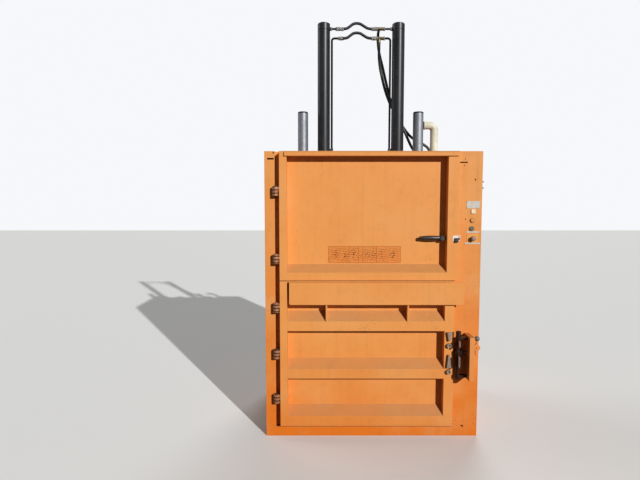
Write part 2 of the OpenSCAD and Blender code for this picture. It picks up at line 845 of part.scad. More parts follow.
module side_cleat() {
    z1 = cleat_z + cleat[2];
    color(BLACK) along_z_cleat(z1);
}
module along_z_cleat(z1) {
    t = cleat_t;
    x0 = right_x;
    x1 = right_x + cleat[0];
    translate([0, cleat_y, 0]) rotate([90, 0, 0]) translate([0, 0, -cleat[1]])
        linear_extrude(cleat[1])
        folded([[x1, cleat_z], [x0, cleat_z], [x0, z1], [x1, z1]], -t);
}

module service_cover() {
    color(PAINT) along_x(right_x, right_x + service_t)
        round_rect([service_y0, service_z0], [service_y0 + service_l, service_z0 + service_h], 10);
}

// A door's frame: two stiles, a top rail and a thin bottom flange
module door_frame(x0, x1, z0, z1, pan, top) {
    t = flange_t;
    difference() {
        block([x0, door_front, z0], [x1, skin_back, z1]);
        block([pan[0], door_front - over, z0 + t], [pan[1], skin_back + over, z1 - top]);
        for (s = [[x0, pan[0]], [pan[1], min(x1, open_r - door_gap - over)]])
            block([s[0] + t, door_front + t, z0 - over], [s[1] - t, skin_back - t, z1 - t]);
    }
}

module upper_door_frame() {
    color(PAINT) {
        difference() {
            door_frame(door_l, upper_r, upper_z0, upper_z1, [pan_l, upper_pan_r], hood_h);
            block([open_r - door_gap - over, front_y - lap_gap, upper_z0 - over],
                [upper_r + over, skin_back + over, upper_z1 + over]);
        }
        along_x(door_l + hood_in, upper_r - 10) polygon([[door_front, upper_z1],
            [door_front - hood_d, upper_z1 - hood_d], [door_front - hood_d, upper_z1 - hood_h],
            [door_front, upper_z1 - hood_h]]);
    }
}

module upper_door_skin() {
    z0 = upper_z0 + sill_h;
    path = [[recess_y, upper_z1 - hood_h], [recess_y, z0 + ledge_h], [door_front, z0],
        [door_front, upper_z0 + flange_t]];
    color(PAINT) difference() {
        along_x(pan_l, upper_pan_r) folded(path, skin_t);
        bar_y([handle_x, recess_y - over, handle_z], shaft_r + fit, skin_t + 2 * over);
    }
}

module upper_door_barrels() {
    door_barrels(upper_hinges);
}

// The handle's grip swells towards its middle, then tapers to a round end
function grip_r(s) = handle_w * (0.66 + 0.34 * sin(180 * pow(s, 0.8)));
module door_handle() {
    y = recess_y - seat;
    n = 14;
    start = handle_x - hub_r + 6;
    color(BLACK) difference() {
        union() {
            bar_y([handle_x, y - hub_l, handle_z], hub_r, hub_l);
            translate([start, y - hub_l + handle_w, handle_z]) rotate([0, -90, 0]) rotate_extrude()
                polygon(concat([[0, 0]], [for (i = [0 : n]) [grip_r(i / n), handle_l * i / n]],
                [[grip_r(1) * 0.6, handle_l + 5], [0, handle_l + 7]]));
        }
        bar_y([handle_x, y - hub_l + 12, handle_z], shaft_r + fit, hub_l);
    }
}

module handle_tongue() {
    y0 = recess_y - seat - hub_l + 12;
    color(WORN) {
        bar_y([handle_x, y0, handle_z], shaft_r, tongue_y + tongue_t - y0);
        along_y(tongue_y, tongue_y + tongue_t) {
            translate([handle_x, handle_z]) circle(tongue_w / 2);
            translate([handle_x - tongue_w / 2, handle_z - tongue_l]) square([tongue_w, tongue_l]);
        }
    }
}

module switch_actuator() {
    w = 26;
    color(BLACK) {
        block([upper_r - w - 4, door_front - 14, actuator_z - 18],
            [upper_r - 4, door_front, actuator_z + 16]);
        block([upper_r - 4, door_front - 14, actuator_z + 2],
            [upper_r + 8, door_front - 6, actuator_z + 16]);
    }
}

module lower_door_frame() {
    color(PAINT) door_frame(door_l, lower_r, lower_z0, lower_z1, [pan_l, lower_pan_r], top_rail);
}

function rib_z(i) = lower_z0 + flange_t + i * rib_pitch;
module lower_door_skin() {
    f = door_front;
    b = recess_y;
    path = concat([[b, lower_z1 - top_rail]], [for (i = [2 : -1 : 0])
        let (z = rib_z(i), under = i > 0 ? [[b, z]] : [])
        each concat([[b, z + rib_band + rib_slope], [f, z + rib_band], [f, z]], under)]);
    color(PAINT) along_x(pan_l, lower_pan_r) folded(path, skin_t);
}

// The header beam: a box in the recess behind a front plate that laps the cabinet
module header_beam() {
    z1 = header_z0 + header_h;
    c = header_corner;
    color(PAINT) {
        along_y(header_y, header_y + strap_t) header_outline(header_l, header_r + header_strap, z1, c);
        along_y(header_y + strap_t, door_front) header_outline(header_l, header_r, z1, c);
        difference() {
            along_y(door_front, recess_y) header_outline(header_l, lower_pan_r, z1, c);
            block([header_l + skin_t, door_front + skin_t, header_z0 + skin_t],
                [lower_pan_r - skin_t, recess_y + over, z1 - skin_t]);
        }
    }
}
module header_outline(x0, x1, z1, c) {
    translate([x0 + c, header_z0 + c]) circle(c);
    translate([x0 + c, header_z0]) square([x1 - x0 - c, z1 - header_z0]);
    translate([x0, header_z0 + c]) square([x1 - x0, z1 - header_z0 - c]);
}

module header_gussets() {
    z = rib_z(2) + rib_band;
    mid = (header_l + lower_pan_r) / 2;
    color(PAINT) for (x = [mid - gusset_offset, mid + gusset_offset])
        along_x(x - gusset_t / 2, x + gusset_t / 2) polygon([[header_y + 12, header_z0],
            [recess_y, header_z0], [recess_y, z + rib_slope], [door_front, z],
            [door_front - 6, z + 6]]);
}

module door_strikers() {
    y0 = door_front - stud_l;
    color(WORN) {
        for (z = stud_zs) difference() {
            bar_y([stud_x, y0, z], stud_r, stud_l);
            bar_y([stud_x, y0 - over, z], stud_r * 0.55, stud_l / 2);
        }
        for (w = wedges) along_y(y0, door_front)
            polygon([for (p = w) [stud_x + p[0], p[1]]]);
    }
}

module lower_door_barrels() {
    door_barrels(lower_hinges);
}

// The latch shaft, with a socket for the bar on top and the lock's collar
module latch_shaft() {
    z0 = bearing_zs[0] - 12;
    color(BLACK) latch_collar();
    color(BLACK) {
        bar_z([latch_x, latch_y, z0], latch_r, shaft_top - socket_l - z0);
        bar_z([latch_x, latch_y, z0], latch_r + 4, 12 - seat);
        difference() {
            bar_z([latch_x, latch_y, shaft_top - socket_l], socket_r, socket_l);
            translate([latch_x, latch_y, shaft_top - 30]) linear_extrude(31)
                square(22, center = true);
        }
    }
}

// A collar clamped on the shaft, with a notch for the lock bolt at each end of the turn
module latch_collar() {
    notch = bolt_r + notch_play;
    spread = collar_r * 1.5;
    z0 = collar_z - over;
    h = collar_h + 2 * over;
    difference() {
        union() {
            bar_z([latch_x, latch_y, collar_z], collar_hub, collar_h);
            intersection() {
                bar_z([latch_x, latch_y, collar_z], collar_r, collar_h);
                translate([latch_x, latch_y, z0]) linear_extrude(h)
                    polygon([[0, 0], [spread, -28], [spread, spread], [-28, spread]]);
            }
        }
        bar_z([latch_x, latch_y, z0], latch_r + fit, h);
        block([latch_x + notch_r, latch_y - notch, z0], [latch_x + collar_r + over, latch_y + notch, z0 + h]);
        block([latch_x - notch, latch_y + notch_r, z0], [latch_x + notch, latch_y + collar_r + over, z0 + h]);
    }
}

// Claws that point forward when open and turn across the door's strikers
module latch_claws() {
    hub = latch_r + 7;
    color(BLACK) for (s = claw_spans) difference() {
        union() {
            bar_z([latch_x, latch_y, s[0]], hub, s[1]);
            block([latch_x - claw_t / 2, latch_y - claw_reach, s[0]],
                [latch_x + claw_t / 2, latch_y, s[0] + s[1]]);
        }
        bar_z([latch_x, latch_y, s[0] - over], latch_r + fit, s[1] + 2 * over);
    }
}

module release_lever() {
    y0 = lever_y - lever_t / 2;
    y1 = lever_y + lever_t / 2;
    hub = 25;
    arm = 12;
    stem = 6;
    color(PAINT) {
        difference() {
            along_y(y0, y1) {
                translate([pivot_x, pivot_z]) circle(hub);
                translate([pivot_x - arm, bolt_z]) square([2 * arm, pivot_z - bolt_z]);
                translate([pivot_x, bolt_z]) circle(arm);
                translate([pivot_x - arm, pivot_z]) square([2 * arm, 34]);
            }
            bar_y([pivot_x, y0 - over, pivot_z], pivot_r + fit, lever_t + 2 * over);
        }
        bar_y([pivot_x, y1, bolt_z], slide_pin_r, latch_y + slide_block[1] / 2 - y1);
        bar_z([pivot_x, lever_y, pivot_z + 34], stem, knob_rise - 34);
    }
}

module release_knob() {
    color(ZINC) difference() {
        translate([pivot_x, lever_y, pivot_z + knob_rise]) sphere(knob_r);
        bar_z([pivot_x, lever_y, pivot_z], 6 + fit, knob_rise);
    }
}

module lock_bolt() {
    x0 = latch_x + collar_r + 2;
    b = slide_block;
    gap = slide_pin_r + 0.4;
    color(WORN) {
        bar_x([x0, latch_y, bolt_z], bolt_r, pivot_x - b[0] / 2 - x0);
        difference() {
            translate([pivot_x - b[0] / 2, latch_y - b[1] / 2, bolt_z - b[2] / 2]) cube(b);
            translate([pivot_x - gap, latch_y - b[1] / 2 - over, bolt_z - 10])
                cube([2 * gap, b[1] + 2 * over, 20]);
        }
    }
}

// The platen: a ribbed box open at the top over a plate with strap bars
module platen() {
    x0 = chamber_l + platen_edge;
    x1 = chamber_r - platen_edge;
    y0 = platen_front;
    y1 = chamber_back - platen_edge;
    z0 = platen_z + bar_t;
    pad = 70;
    color(PAINT) {
        strap_bars(x0, x1, y0, y1, platen_z);
        difference() {
            block([x0, y0, z0], [x1, y1, platen_top - plate_t]);
            block([x0 + web_t, y0 + web_t, z0 + plate_t], [x1 - web_t, y1 - web_t, platen_top]);
        }
        for (y = [press_y - pad, press_y + pad - web_t])
            block([x0 + web_t, y, z0 + plate_t], [x1 - web_t, y + web_t, platen_top - plate_t]);
        for (x = concat(cyl_xs, guide_xs, [mid_x])) {
            block([x - web_t / 2, y0 + web_t, z0 + plate_t],
                [x + web_t / 2, press_y - pad, platen_top - plate_t]);
            block([x - web_t / 2, press_y + pad, z0 + plate_t],
                [x + web_t / 2, y1 - web_t, platen_top - plate_t]);
        }
        block([x0, press_y - pad, platen_top - plate_t], [x1, press_y + pad, platen_top]);
    }
}

module press_rods() {
    color(ZINC) for (x = cyl_xs) {
        bar_z([x, press_y, platen_top], rod_foot_r, rod_foot_h);
        bar_z([x, press_y, platen_top + rod_foot_h], rod_r, piston_z - platen_top - rod_foot_h);
        bar_z([x, press_y, piston_z], bore_r - fit, piston_h);
    }
}

module guide_tubes() {
    color(ZINC) for (x = guide_xs) difference() {
        bar_z([x, press_y, platen_top], guide_r, guide_top - platen_top);
        bar_z([x, press_y, platen_top + guide_wall], guide_r - guide_wall, guide_top - platen_top);
    }
}

module guide_caps() {
    color(BLACK) for (x = guide_xs) translate([x, press_y, guide_top]) rotate_extrude()
        polygon([[0, 0], [guide_r, 0], [guide_r, guide_cap_h - 4], [guide_r - 4, guide_cap_h],
        [0, guide_cap_h]]);
}

module push_button(p) {
    bar_y([right_x - p[0], front_y - button_rise, p[1]], button_r, button_l);
}

module start_button() {
    color(ZINC) push_button(start_pos);
}

module second_button() {
    color([0.24, 0.28, 0.24]) push_button(second_pos);
}

module estop_knob() {
    y0 = front_y - estop_rise;
    r = estop_r;
    color(GREY_RED) {
        bar_y([right_x - estop_pos[0], y0 + estop_head, estop_pos[1]], estop_stem_r,
            estop_rise - estop_head + 20);
        translate([right_x - estop_pos[0], y0, estop_pos[1]]) rotate([-90, 0, 0]) rotate_extrude()
            polygon([[0, 0], [r * 0.55, 0.6], [r * 0.84, 3], [r, 7], [r, estop_head - 3],
            [r - 3, estop_head], [0, estop_head]]);
    }
}

base_frame();
floor_bars();
left_side();
chamber_right_wall();
cabinet_front();
cabinet_side();
cabinet_back();
back_plate();
back_ribs();
lintel();
crosshead();
roof_plates();
cabinet_roof();
left_cylinder();
right_cylinder();
cylinder_caps();
flange_bolts();
rod_end_pipes();
line_fittings();
brass_tees();
upper_hose();
lower_hose();
pressure_hose();
return_hose();
hose_bulkhead();
conduit_elbow();
conduit_cable();
hinge_seats();
panel_plates();
panel_lamp();
estop_plate();
button_bezels();
lock_housing();
latch_bearings();
side_cleat();
service_cover();
upper_door_frame();
upper_door_skin();
upper_door_barrels();
door_handle();
handle_tongue();
switch_actuator();
lower_door_frame();
lower_door_skin();
header_beam();
header_gussets();
door_strikers();
lower_door_barrels();
latch_shaft();
latch_claws();
release_lever();
release_knob();
lock_bolt();
platen();
press_rods();
guide_tubes();
guide_caps();
start_button();
second_button();
estop_knob();
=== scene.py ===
"""A vertical two-door recycling baler in sun-faded orange paint, dressed around its CAD frame.

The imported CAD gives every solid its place. This script gives each one its finish, makes the hoses
and the small hardware, and sets up the studio. It reads nothing else from disk.
"""
import logging
import math
from collections.abc import Iterable, Sequence
from dataclasses import dataclass, field
from enum import Enum

import bmesh
import bpy
from mathutils import Matrix, Vector


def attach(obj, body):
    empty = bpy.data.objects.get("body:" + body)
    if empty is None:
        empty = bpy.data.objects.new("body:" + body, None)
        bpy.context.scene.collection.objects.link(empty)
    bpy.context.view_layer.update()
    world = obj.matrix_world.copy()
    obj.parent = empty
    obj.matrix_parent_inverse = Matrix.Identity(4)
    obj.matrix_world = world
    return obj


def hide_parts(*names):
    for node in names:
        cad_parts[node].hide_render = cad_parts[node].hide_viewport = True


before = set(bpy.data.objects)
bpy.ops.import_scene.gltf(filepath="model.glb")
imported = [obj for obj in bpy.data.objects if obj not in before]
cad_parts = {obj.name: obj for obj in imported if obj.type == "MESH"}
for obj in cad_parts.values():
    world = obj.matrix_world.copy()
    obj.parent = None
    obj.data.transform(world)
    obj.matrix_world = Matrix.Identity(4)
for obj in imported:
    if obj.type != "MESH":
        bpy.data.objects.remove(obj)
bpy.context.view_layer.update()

LOG = logging.getLogger("baler")
MM = 0.001
WAVE_TURN = 2 * math.pi / 20  # a Wave texture draws one band in this much of its scaled length

TIMES = {"operation": "MULTIPLY"}
SHARE, UNDER, OVER, MIXED = 0, 6, 7, 2  # a colour Mix node's sockets by number

Point = tuple[float, float, float]
Thing = bpy.types.Object
Tree = bpy.types.NodeTree
Socket = bpy.types.NodeSocket


class Body(Enum):
    """The rigid bodies that the added pieces ride on."""

    MACHINE = "machine"
    LOADING_DOOR = "loading_door"
    BALE_DOOR = "bale_door"


class Slot(Enum):
    """The record's material slots. The added pieces here are not given them."""

    HOSE_RUBBER = "hose_rubber"
    ZINC_PLATE = "zinc_plate"
    ORANGE_PAINT = "orange_paint"
    PALE_PLATE = "pale_plate"


class Lay(Enum):
    """How a hose lies."""

    TAUT = "taut"
    HANGING = "hanging"


class Stiffness(Enum):
    """How stiff a hose is."""

    MEDIUM = "medium"
    STIFF = "stiff"


class Facing(Enum):
    """Where a screw's head faces, as its turn about X and about Y."""

    FRONT = (math.pi / 2, 0.0)
    SIDE = (0.0, math.pi / 2)


def linear(colour: str) -> tuple[float, float, float, float]:
    """Turns an sRGB hex colour into linear light.

    Args:
        colour: A colour such as "#E89A55".

    Returns:
        Linear red, green and blue, with an alpha of 1.
    """
    parts = [int(colour[i:i + 2], 16) / 255 for i in (1, 3, 5)]
    red, green, blue = [c / 12.92 if c <= 0.04045 else ((c + 0.055) / 1.055) ** 2.4 for c in parts]
    return red, green, blue, 1.0


def per_metre(size_mm: float) -> float:
    """Gives a texture's scale for features of a real size in millimetres."""
    return 1000 / size_mm


def add_node(
    tree: Tree,
    kind: str,
    settings: dict[str, object] | None = None,
    inputs: dict[str | int, object] | None = None,
    links: dict[str | int, Socket] | None = None,
) -> bpy.types.Node:
    """Adds one node with its settings, its input values and its links.

    Args:
        tree: The node tree.
        kind: The node's type, such as "ShaderNodeTexNoise".
        settings: Properties of the node itself.
        inputs: Values for its input sockets, by name or number.
        links: Output sockets that feed its input sockets, by name or number.

    Returns:
        The new node.
    """
    node = tree.nodes.new(kind)
    for key, value in (settings or {}).items():
        setattr(node, key, value)
    for key, value in (inputs or {}).items():
        node.inputs[key].default_value = value
    for key, socket in (links or {}).items():
        tree.links.new(socket, node.inputs[key])
    return node


def lay_over(tree: Tree, under: Socket | str, over: str, value: Socket, low: float = 0.0,
             high: float = 1.0, amount: float = 1.0) -> Socket:
    """Lays one colour over another where a value runs from low to high.

    Args:
        tree: The material's node tree.
        under: The colour so far, as a socket or as a hex colour.
        over: The hex colour that comes over it.
        value: What decides where it shows, such as a noise.
        low: The value where none of it shows.
        high: The value where its full amount shows.
        amount: How much of it shows there.

    Returns:
        The mixed colour.
    """
    share = add_node(tree, "ShaderNodeMapRange", links={"Value": value},
                     inputs={"From Min": low, "From Max": high, "To Max": amount})
    mix = add_node(tree, "ShaderNodeMix", {"data_type": "RGBA"}, {OVER: linear(over)},
                   {SHARE: share.outputs[0]})
    if isinstance(under, str):
        mix.inputs[UNDER].default_value = linear(under)
    else:
        tree.links.new(under, mix.inputs[UNDER])
    return mix.outputs[MIXED]


@dataclass(frozen=True)
class Finish:
    """A worn surface: a base colour with patches, grime, an edge tone, grain and roughness.

    Lengths are in millimetres on the object. The real grain of paint, plastic and zinc is finer
    than the render can show, so grain_mm is as coarse as it needs to be. An edge rounding of 0
    leaves the edges alone. The edge tone is wear on most finishes and a painted highlight on the
    orange paints.
    """

    name: str
    base: str
    patch: str
    patch_mm: float = 220.0
    patch_amount: float = 0.6
    grime: str = "#3A2A1E"
    grime_mm: float = 45.0
    grime_amount: float = 0.15
    edge_tone: str = "#8A6A55"
    edge_round_mm: float = 0.0
    edge_tone_amount: float = 0.6
    roughness: float = 0.55
    roughness_spread: float = 0.12
    metallic: float = 0.0
    grain_mm: float = 6.0
    grain_height_mm: float = 0.12
    stretch: Point = (1.0, 1.0, 1.0)
    coat: float = 0.0
    gloss: float = 0.5

    def colour(self, tree: Tree, coords: Socket) -> Socket:
        """Mixes the base colour with its patches.

        Args:
            tree: The material's node tree.
            coords: Object coordinates.

        Returns:
            The colour before grime and wear.
        """
        noise = add_node(tree, "ShaderNodeTexNoise", links={"Vector": coords},
                         inputs={"Scale": per_metre(self.patch_mm), "Detail": 4.0,
                                 "Roughness": 0.6})
        return lay_over(tree, self.base, self.patch, noise.outputs["Fac"], 0.35, 0.68,
                        self.patch_amount)

    def build(self) -> bpy.types.Material:
        """Builds the material.

        Returns:
            The finished material.
        """
        material = bpy.data.materials.new(self.name)
        material.use_nodes = True
        tree = material.node_tree
        tree.nodes.clear()
        where = add_node(tree, "ShaderNodeTexCoord")
        spread = add_node(tree, "ShaderNodeMapping", inputs={"Scale": self.stretch},
                          links={"Vector": where.outputs["Object"]})
        coords = spread.outputs["Vector"]
        dirt = add_node(tree, "ShaderNodeTexNoise", links={"Vector": coords},
                        inputs={"Scale": per_metre(self.grime_mm), "Detail": 6.0,
                                "Roughness": 0.7})
        tone = lay_over(tree, self.colour(tree, coords), self.grime, dirt.outputs["Fac"], 0.5, 0.8,
                        self.grime_amount)
        grain = add_node(tree, "ShaderNodeTexNoise", links={"Vector": coords},
                         inputs={"Scale": per_metre(self.grain_mm), "Detail": 2.0})
        rough = add_node(tree, "ShaderNodeMapRange", links={"Value": dirt.outputs["Fac"]},
                         inputs={"To Min": self.roughness - self.roughness_spread,
                                 "To Max": self.roughness + self.roughness_spread})
        bump = add_node(tree, "ShaderNodeBump", links={"Height": grain.outputs["Fac"]},
                        inputs={"Strength": 1.0, "Distance": self.grain_height_mm * MM})
        shader = add_node(tree, "ShaderNodeBsdfPrincipled",
                          inputs={"Metallic": self.metallic, "Coat Weight": self.coat,
                                  "Specular IOR Level": self.gloss},
                          links={"Roughness": rough.outputs[0], "Normal": bump.outputs["Normal"]})
        if self.edge_round_mm:
            tone = self.tinted_edges(tree, tone, bump, dirt.outputs["Fac"])
        tree.links.new(tone, shader.inputs["Base Color"])
        add_node(tree, "ShaderNodeOutputMaterial", links={"Surface": shader.outputs["BSDF"]})
        return material

    def tinted_edges(self, tree: Tree, tone: Socket, bump: bpy.types.Node, breakup: Socket) -> Socket:
        """Rounds the edges and tones them: wear mostly, a painted highlight on the orange paints.

        Args:
            tree: The material's node tree.
            tone: The colour so far.
            bump: The bump node, which takes the rounded normal.
            breakup: A noise value that breaks the wear up.

        Returns:
            The colour with its edge tone laid on.
        """
        bevel = add_node(tree, "ShaderNodeBevel", {"samples": 4}, {"Radius": self.edge_round_mm * MM})
        tree.links.new(bevel.outputs["Normal"], bump.inputs["Normal"])
        flat = add_node(tree, "ShaderNodeNewGeometry")
        dot = add_node(tree, "ShaderNodeVectorMath", {"operation": "DOT_PRODUCT"},
                       links={0: bevel.outputs["Normal"], 1: flat.outputs["True Normal"]})
        edge = add_node(tree, "ShaderNodeMapRange", inputs={"From Min": 0.985, "From Max": 0.8},
                        links={"Value": dot.outputs["Value"]})
        patchy = add_node(tree, "ShaderNodeMapRange", links={"Value": breakup},
                          inputs={"From Min": 0.42, "From Max": 0.6, "To Max": self.edge_tone_amount})
        # On the orange paints this mask lays a painted highlight along the edges, not wear.
        rubbed = add_node(tree, "ShaderNodeMath", TIMES,
                          links={0: edge.outputs[0], 1: patchy.outputs[0]})
        return lay_over(tree, tone, self.edge_tone, rubbed.outputs[0])


@dataclass(frozen=True)
class SunFadedPaint(Finish):
    """Sprayed two-pack paint that the sun has bleached from the top down, with run-off streaks.

    Its base is the colour at low_m above the floor, and bleached is the colour at high_m.
    """

    bleached: str = "#DE954E"
    low_m: float = 0.0
    high_m: float = 1.9
    unevenness: float = 0.22
    dust: str = "#9A7450"
    dust_amount: float = 0.5
    streak: str = "#A85F2C"
    streak_mm: float = 34.0
    streak_length_mm: float = 900.0
    streak_amount: float = 0.16
    chip: str = "#7A4A30"
    chip_mm: float = 9.0
    chip_amount: float = 0.75
    knocks_per_m: float = 4.5

    def colour(self, tree: Tree, coords: Socket) -> Socket:
        """Bleaches the paint with its height, then adds patches, streaks, chips and dust.

        Args:
            tree: The material's node tree.
            coords: Object coordinates.

        Returns:
            The colour before grime and wear.
        """
        axes = add_node(tree, "ShaderNodeSeparateXYZ", links={"Vector": coords})
        cloud = add_node(tree, "ShaderNodeTexNoise", links={"Vector": coords},
                         inputs={"Scale": per_metre(self.patch_mm), "Detail": 4.0,
                                 "Roughness": 0.55})
        height = add_node(tree, "ShaderNodeMapRange", links={"Value": axes.outputs["Z"]},
                          inputs={"From Min": self.low_m, "From Max": self.high_m})
        shift = add_node(tree, "ShaderNodeMapRange", links={"Value": cloud.outputs["Fac"]},
                         inputs={"From Min": 0.3, "From Max": 0.7, "To Min": -self.unevenness,
                                 "To Max": self.unevenness})
        faded = add_node(tree, "ShaderNodeMath", {"operation": "ADD", "use_clamp": True},
                         links={0: height.outputs[0], 1: shift.outputs[0]})
        tone = lay_over(tree, self.base, self.bleached, faded.outputs[0])
        tone = lay_over(tree, tone, self.patch, cloud.outputs["Fac"], 0.5, 0.75, self.patch_amount)
        # Rain runs straight down, so the streaks are long in Z and narrow across.
        narrow = per_metre(self.streak_mm)
        run = add_node(tree, "ShaderNodeMapping", links={"Vector": coords},
                       inputs={"Scale": (narrow, narrow, per_metre(self.streak_length_mm))})
        streak = add_node(tree, "ShaderNodeTexNoise", inputs={"Scale": 1.0, "Detail": 3.0},
                          links={"Vector": run.outputs["Vector"]})
        tone = lay_over(tree, tone, self.streak, streak.outputs["Fac"], 0.52, 0.74,
                        self.streak_amount)
        # Chips are small and only where a broader noise says the paint took knocks.
        chips = add_node(tree, "ShaderNodeTexNoise", links={"Vector": coords},
                         inputs={"Scale": per_metre(self.chip_mm), "Detail": 2.0})
        knocks = add_node(tree, "ShaderNodeTexNoise", links={"Vector": coords},
                          inputs={"Scale": self.knocks_per_m, "Detail": 2.0})
        both = add_node(tree, "ShaderNodeMath", TIMES,
                        links={0: chips.outputs["Fac"], 1: knocks.outputs["Fac"]})
        tone = lay_over(tree, tone, self.chip, both.outputs[0], 0.45, 0.47, self.chip_amount)
        # Dust lies on what faces up and stays off what stands upright.
        facing = add_node(tree, "ShaderNodeNewGeometry")
        upward = add_node(tree, "ShaderNodeSeparateXYZ", links={"Vector": facing.outputs["Normal"]})
        lying = add_node(tree, "ShaderNodeMapRange", links={"Value": upward.outputs["Z"]},
                         inputs={"From Min": 0.25, "From Max": 0.75, "To Max": self.dust_amount})
        patchy = add_node(tree, "ShaderNodeMapRange", links={"Value": cloud.outputs["Fac"]},
                          inputs={"From Min": 0.25, "From Max": 0.6, "To Min": 0.6})
        settled = add_node(tree, "ShaderNodeMath", TIMES,
                           links={0: lying.outputs[0], 1: patchy.outputs[0]})
        return lay_over(tree, tone, self.dust, settled.outputs[0])


@dataclass(frozen=True)
class BraidedHose(Finish):
    """Rubber hose cover with the wrap marks of its cure, which follow the hose's own UV map."""

    wrap_mm: float = 14.0
    wrap_height_mm: float = 0.6

    def build(self) -> bpy.types.Material:
        """Builds the rubber with its wrap marks.

        Returns:
            The finished material.
        """
        material = super().build()
        tree = material.node_tree
        uv = add_node(tree, "ShaderNodeUVMap", {"uv_map": "along"})
        wrap = add_node(tree, "ShaderNodeTexWave", {"bands_direction": "Y"},
                        {"Scale": WAVE_TURN / (self.wrap_mm * MM), "Distortion": 1.5},
                        {"Vector": uv.outputs["UV"]})
        shader = tree.nodes["Principled BSDF"]
        grain = shader.inputs["Normal"].links[0].from_socket
        ridges = add_node(tree, "ShaderNodeBump",
                          inputs={"Strength": 0.6, "Distance": self.wrap_height_mm * MM},
                          links={"Height": wrap.outputs["Fac"], "Normal": grain})
        tree.links.new(ridges.outputs["Normal"], shader.inputs["Normal"])
        return material


@dataclass(frozen=True)
class RingedSteel(Finish):
    """Hinge steel whose knuckles show as bands, with painted shade in the dark bands between them.
    """

    ring_mm: float = 26.0
    knuckle_gap_shade: str = "#24120A"
    knuckle_gap_shade_amount: float = 0.9

    def colour(self, tree: Tree, coords: Socket) -> Socket:
        """Paints dark bands of shade across the patched steel, standing in for the gaps between
        knuckles.

        Args:
            tree: The material's node tree.
            coords: Object coordinates.

        Returns:
            The steel's colour.
        """
        rings = add_node(tree, "ShaderNodeTexWave", {"bands_direction": "Z"},
                         {"Scale": WAVE_TURN / (self.ring_mm * MM), "Distortion": 0.6},
                         {"Vector": coords})
        # The dark bands are painted shade for the gaps between the knuckles.
        return lay_over(tree, super().colour(tree, coords), self.knuckle_gap_shade, rings.outputs["Fac"],
                        0.45, 0.2, self.knuckle_gap_shade_amount)


@dataclass(frozen=True)
class HighlitTips(Finish):
    """Greased steel on a turning shaft, with a painted highlight along one edge beyond the shaft's
    hub.

    The shaft stands upright at axis_m, and the highlighted side ends at edge_m on the X axis.
    """

    painted_highlight: str = "#F0E2D8"
    axis_m: tuple[float, float] = (0.674, -0.604)
    hub_mm: float = 27.0
    fade_mm: float = 6.0
    edge_m: float = 0.670

    def colour(self, tree: Tree, coords: Socket) -> Socket:
        """Paints a pale highlight beyond the hub's radius, on the side that faces the strikers.

        Args:
            tree: The material's node tree.
            coords: Object coordinates.

        Returns:
            The steel's colour.
        """
        moved = add_node(tree, "ShaderNodeVectorMath", {"operation": "SUBTRACT"},
                         {1: (*self.axis_m, 0.0)}, {0: coords})
        flat = add_node(tree, "ShaderNodeVectorMath", TIMES, {1: (1.0, 1.0, 0.0)},
                        {0: moved.outputs["Vector"]})
        away = add_node(tree, "ShaderNodeVectorMath", {"operation": "LENGTH"},
                        links={0: flat.outputs["Vector"]})
        tip = add_node(tree, "ShaderNodeMapRange", links={"Value": away.outputs["Value"]},
                       inputs={"From Min": self.hub_mm * MM,
                               "From Max": (self.hub_mm + self.fade_mm) * MM})
        axes = add_node(tree, "ShaderNodeSeparateXYZ", links={"Vector": coords})
        edge = add_node(tree, "ShaderNodeMapRange", links={"Value": axes.outputs["X"]},
                        inputs={"From Min": self.edge_m - MM, "From Max": self.edge_m + MM,
                                "To Min": 1.0, "To Max": 0.0})
        highlit = add_node(tree, "ShaderNodeMath", TIMES,
                          links={0: tip.outputs[0], 1: edge.outputs[0]})
        # The pale band is a painted highlight where the claws' edges catch the light.
        return lay_over(tree, super().colour(tree, coords), self.painted_highlight, highlit.outputs[0])


@dataclass(frozen=True)
class Spangle(Finish):
    """Hot-dip galvanising, whose zinc crystals show as flat grey leaves."""

    crystal_mm: float = 16.0

    def colour(self, tree: Tree, coords: Socket) -> Socket:
        """Draws the crystals.

        Args:
            tree: The material's node tree.
            coords: Object coordinates.

        Returns:
            The zinc's colour.
        """
        cells = add_node(tree, "ShaderNodeTexVoronoi", links={"Vector": coords},
                         inputs={"Scale": per_metre(self.crystal_mm)})
        leaf = add_node(tree, "ShaderNodeSeparateColor", links={"Color": cells.outputs["Color"]})
        return lay_over(tree, self.base, self.patch, leaf.outputs[0])


# Two-pack spray paint: half gloss once, now chalky, so it reads broad and soft.
# Its pale edge tone is a painted highlight along every edge and fold.
PAINT = SunFadedPaint(
    "sun_faded_orange_paint", base="#DA7018", patch="#DDA06A", patch_mm=420, patch_amount=0.35,
    grime="#8A4E26", grime_mm=70, grime_amount=0.2, edge_tone="#E8AE7C", edge_round_mm=3.5, roughness=0.6,
    grain_mm=7, grain_height_mm=0.10, gloss=0.25)
# The same paint on the doors, which face the sun squarely: paler and more even down to their foot.
# Its pale edge tone is a painted highlight along every edge and fold.
DOOR_PAINT = SunFadedPaint(
    "sun_faded_door_paint", base="#D97F36", patch="#E3A468", patch_mm=520, patch_amount=0.35,
    grime="#94572C", grime_mm=90, grime_amount=0.16, edge_tone="#EDB684", edge_round_mm=3.5, roughness=0.58,
    grain_mm=7, grain_height_mm=0.10, gloss=0.25, bleached="#E2954C", high_m=0.9,
    streak_amount=0.1)
# Hot-rolled steel of the hinges under rubbed paint: brown with orange rests, and bands of painted
# shade where the knuckles meet.
WORN_STEEL = RingedSteel(
    "rubbed_hinge_steel", base="#B8825E", patch="#A25A30", patch_mm=18, patch_amount=0.8,
    grime="#2A160C", grime_mm=16, grime_amount=0.7, edge_tone="#E2C2AE", edge_round_mm=2.5, roughness=0.5,
    metallic=0.3, grain_mm=2.5, grain_height_mm=0.15)
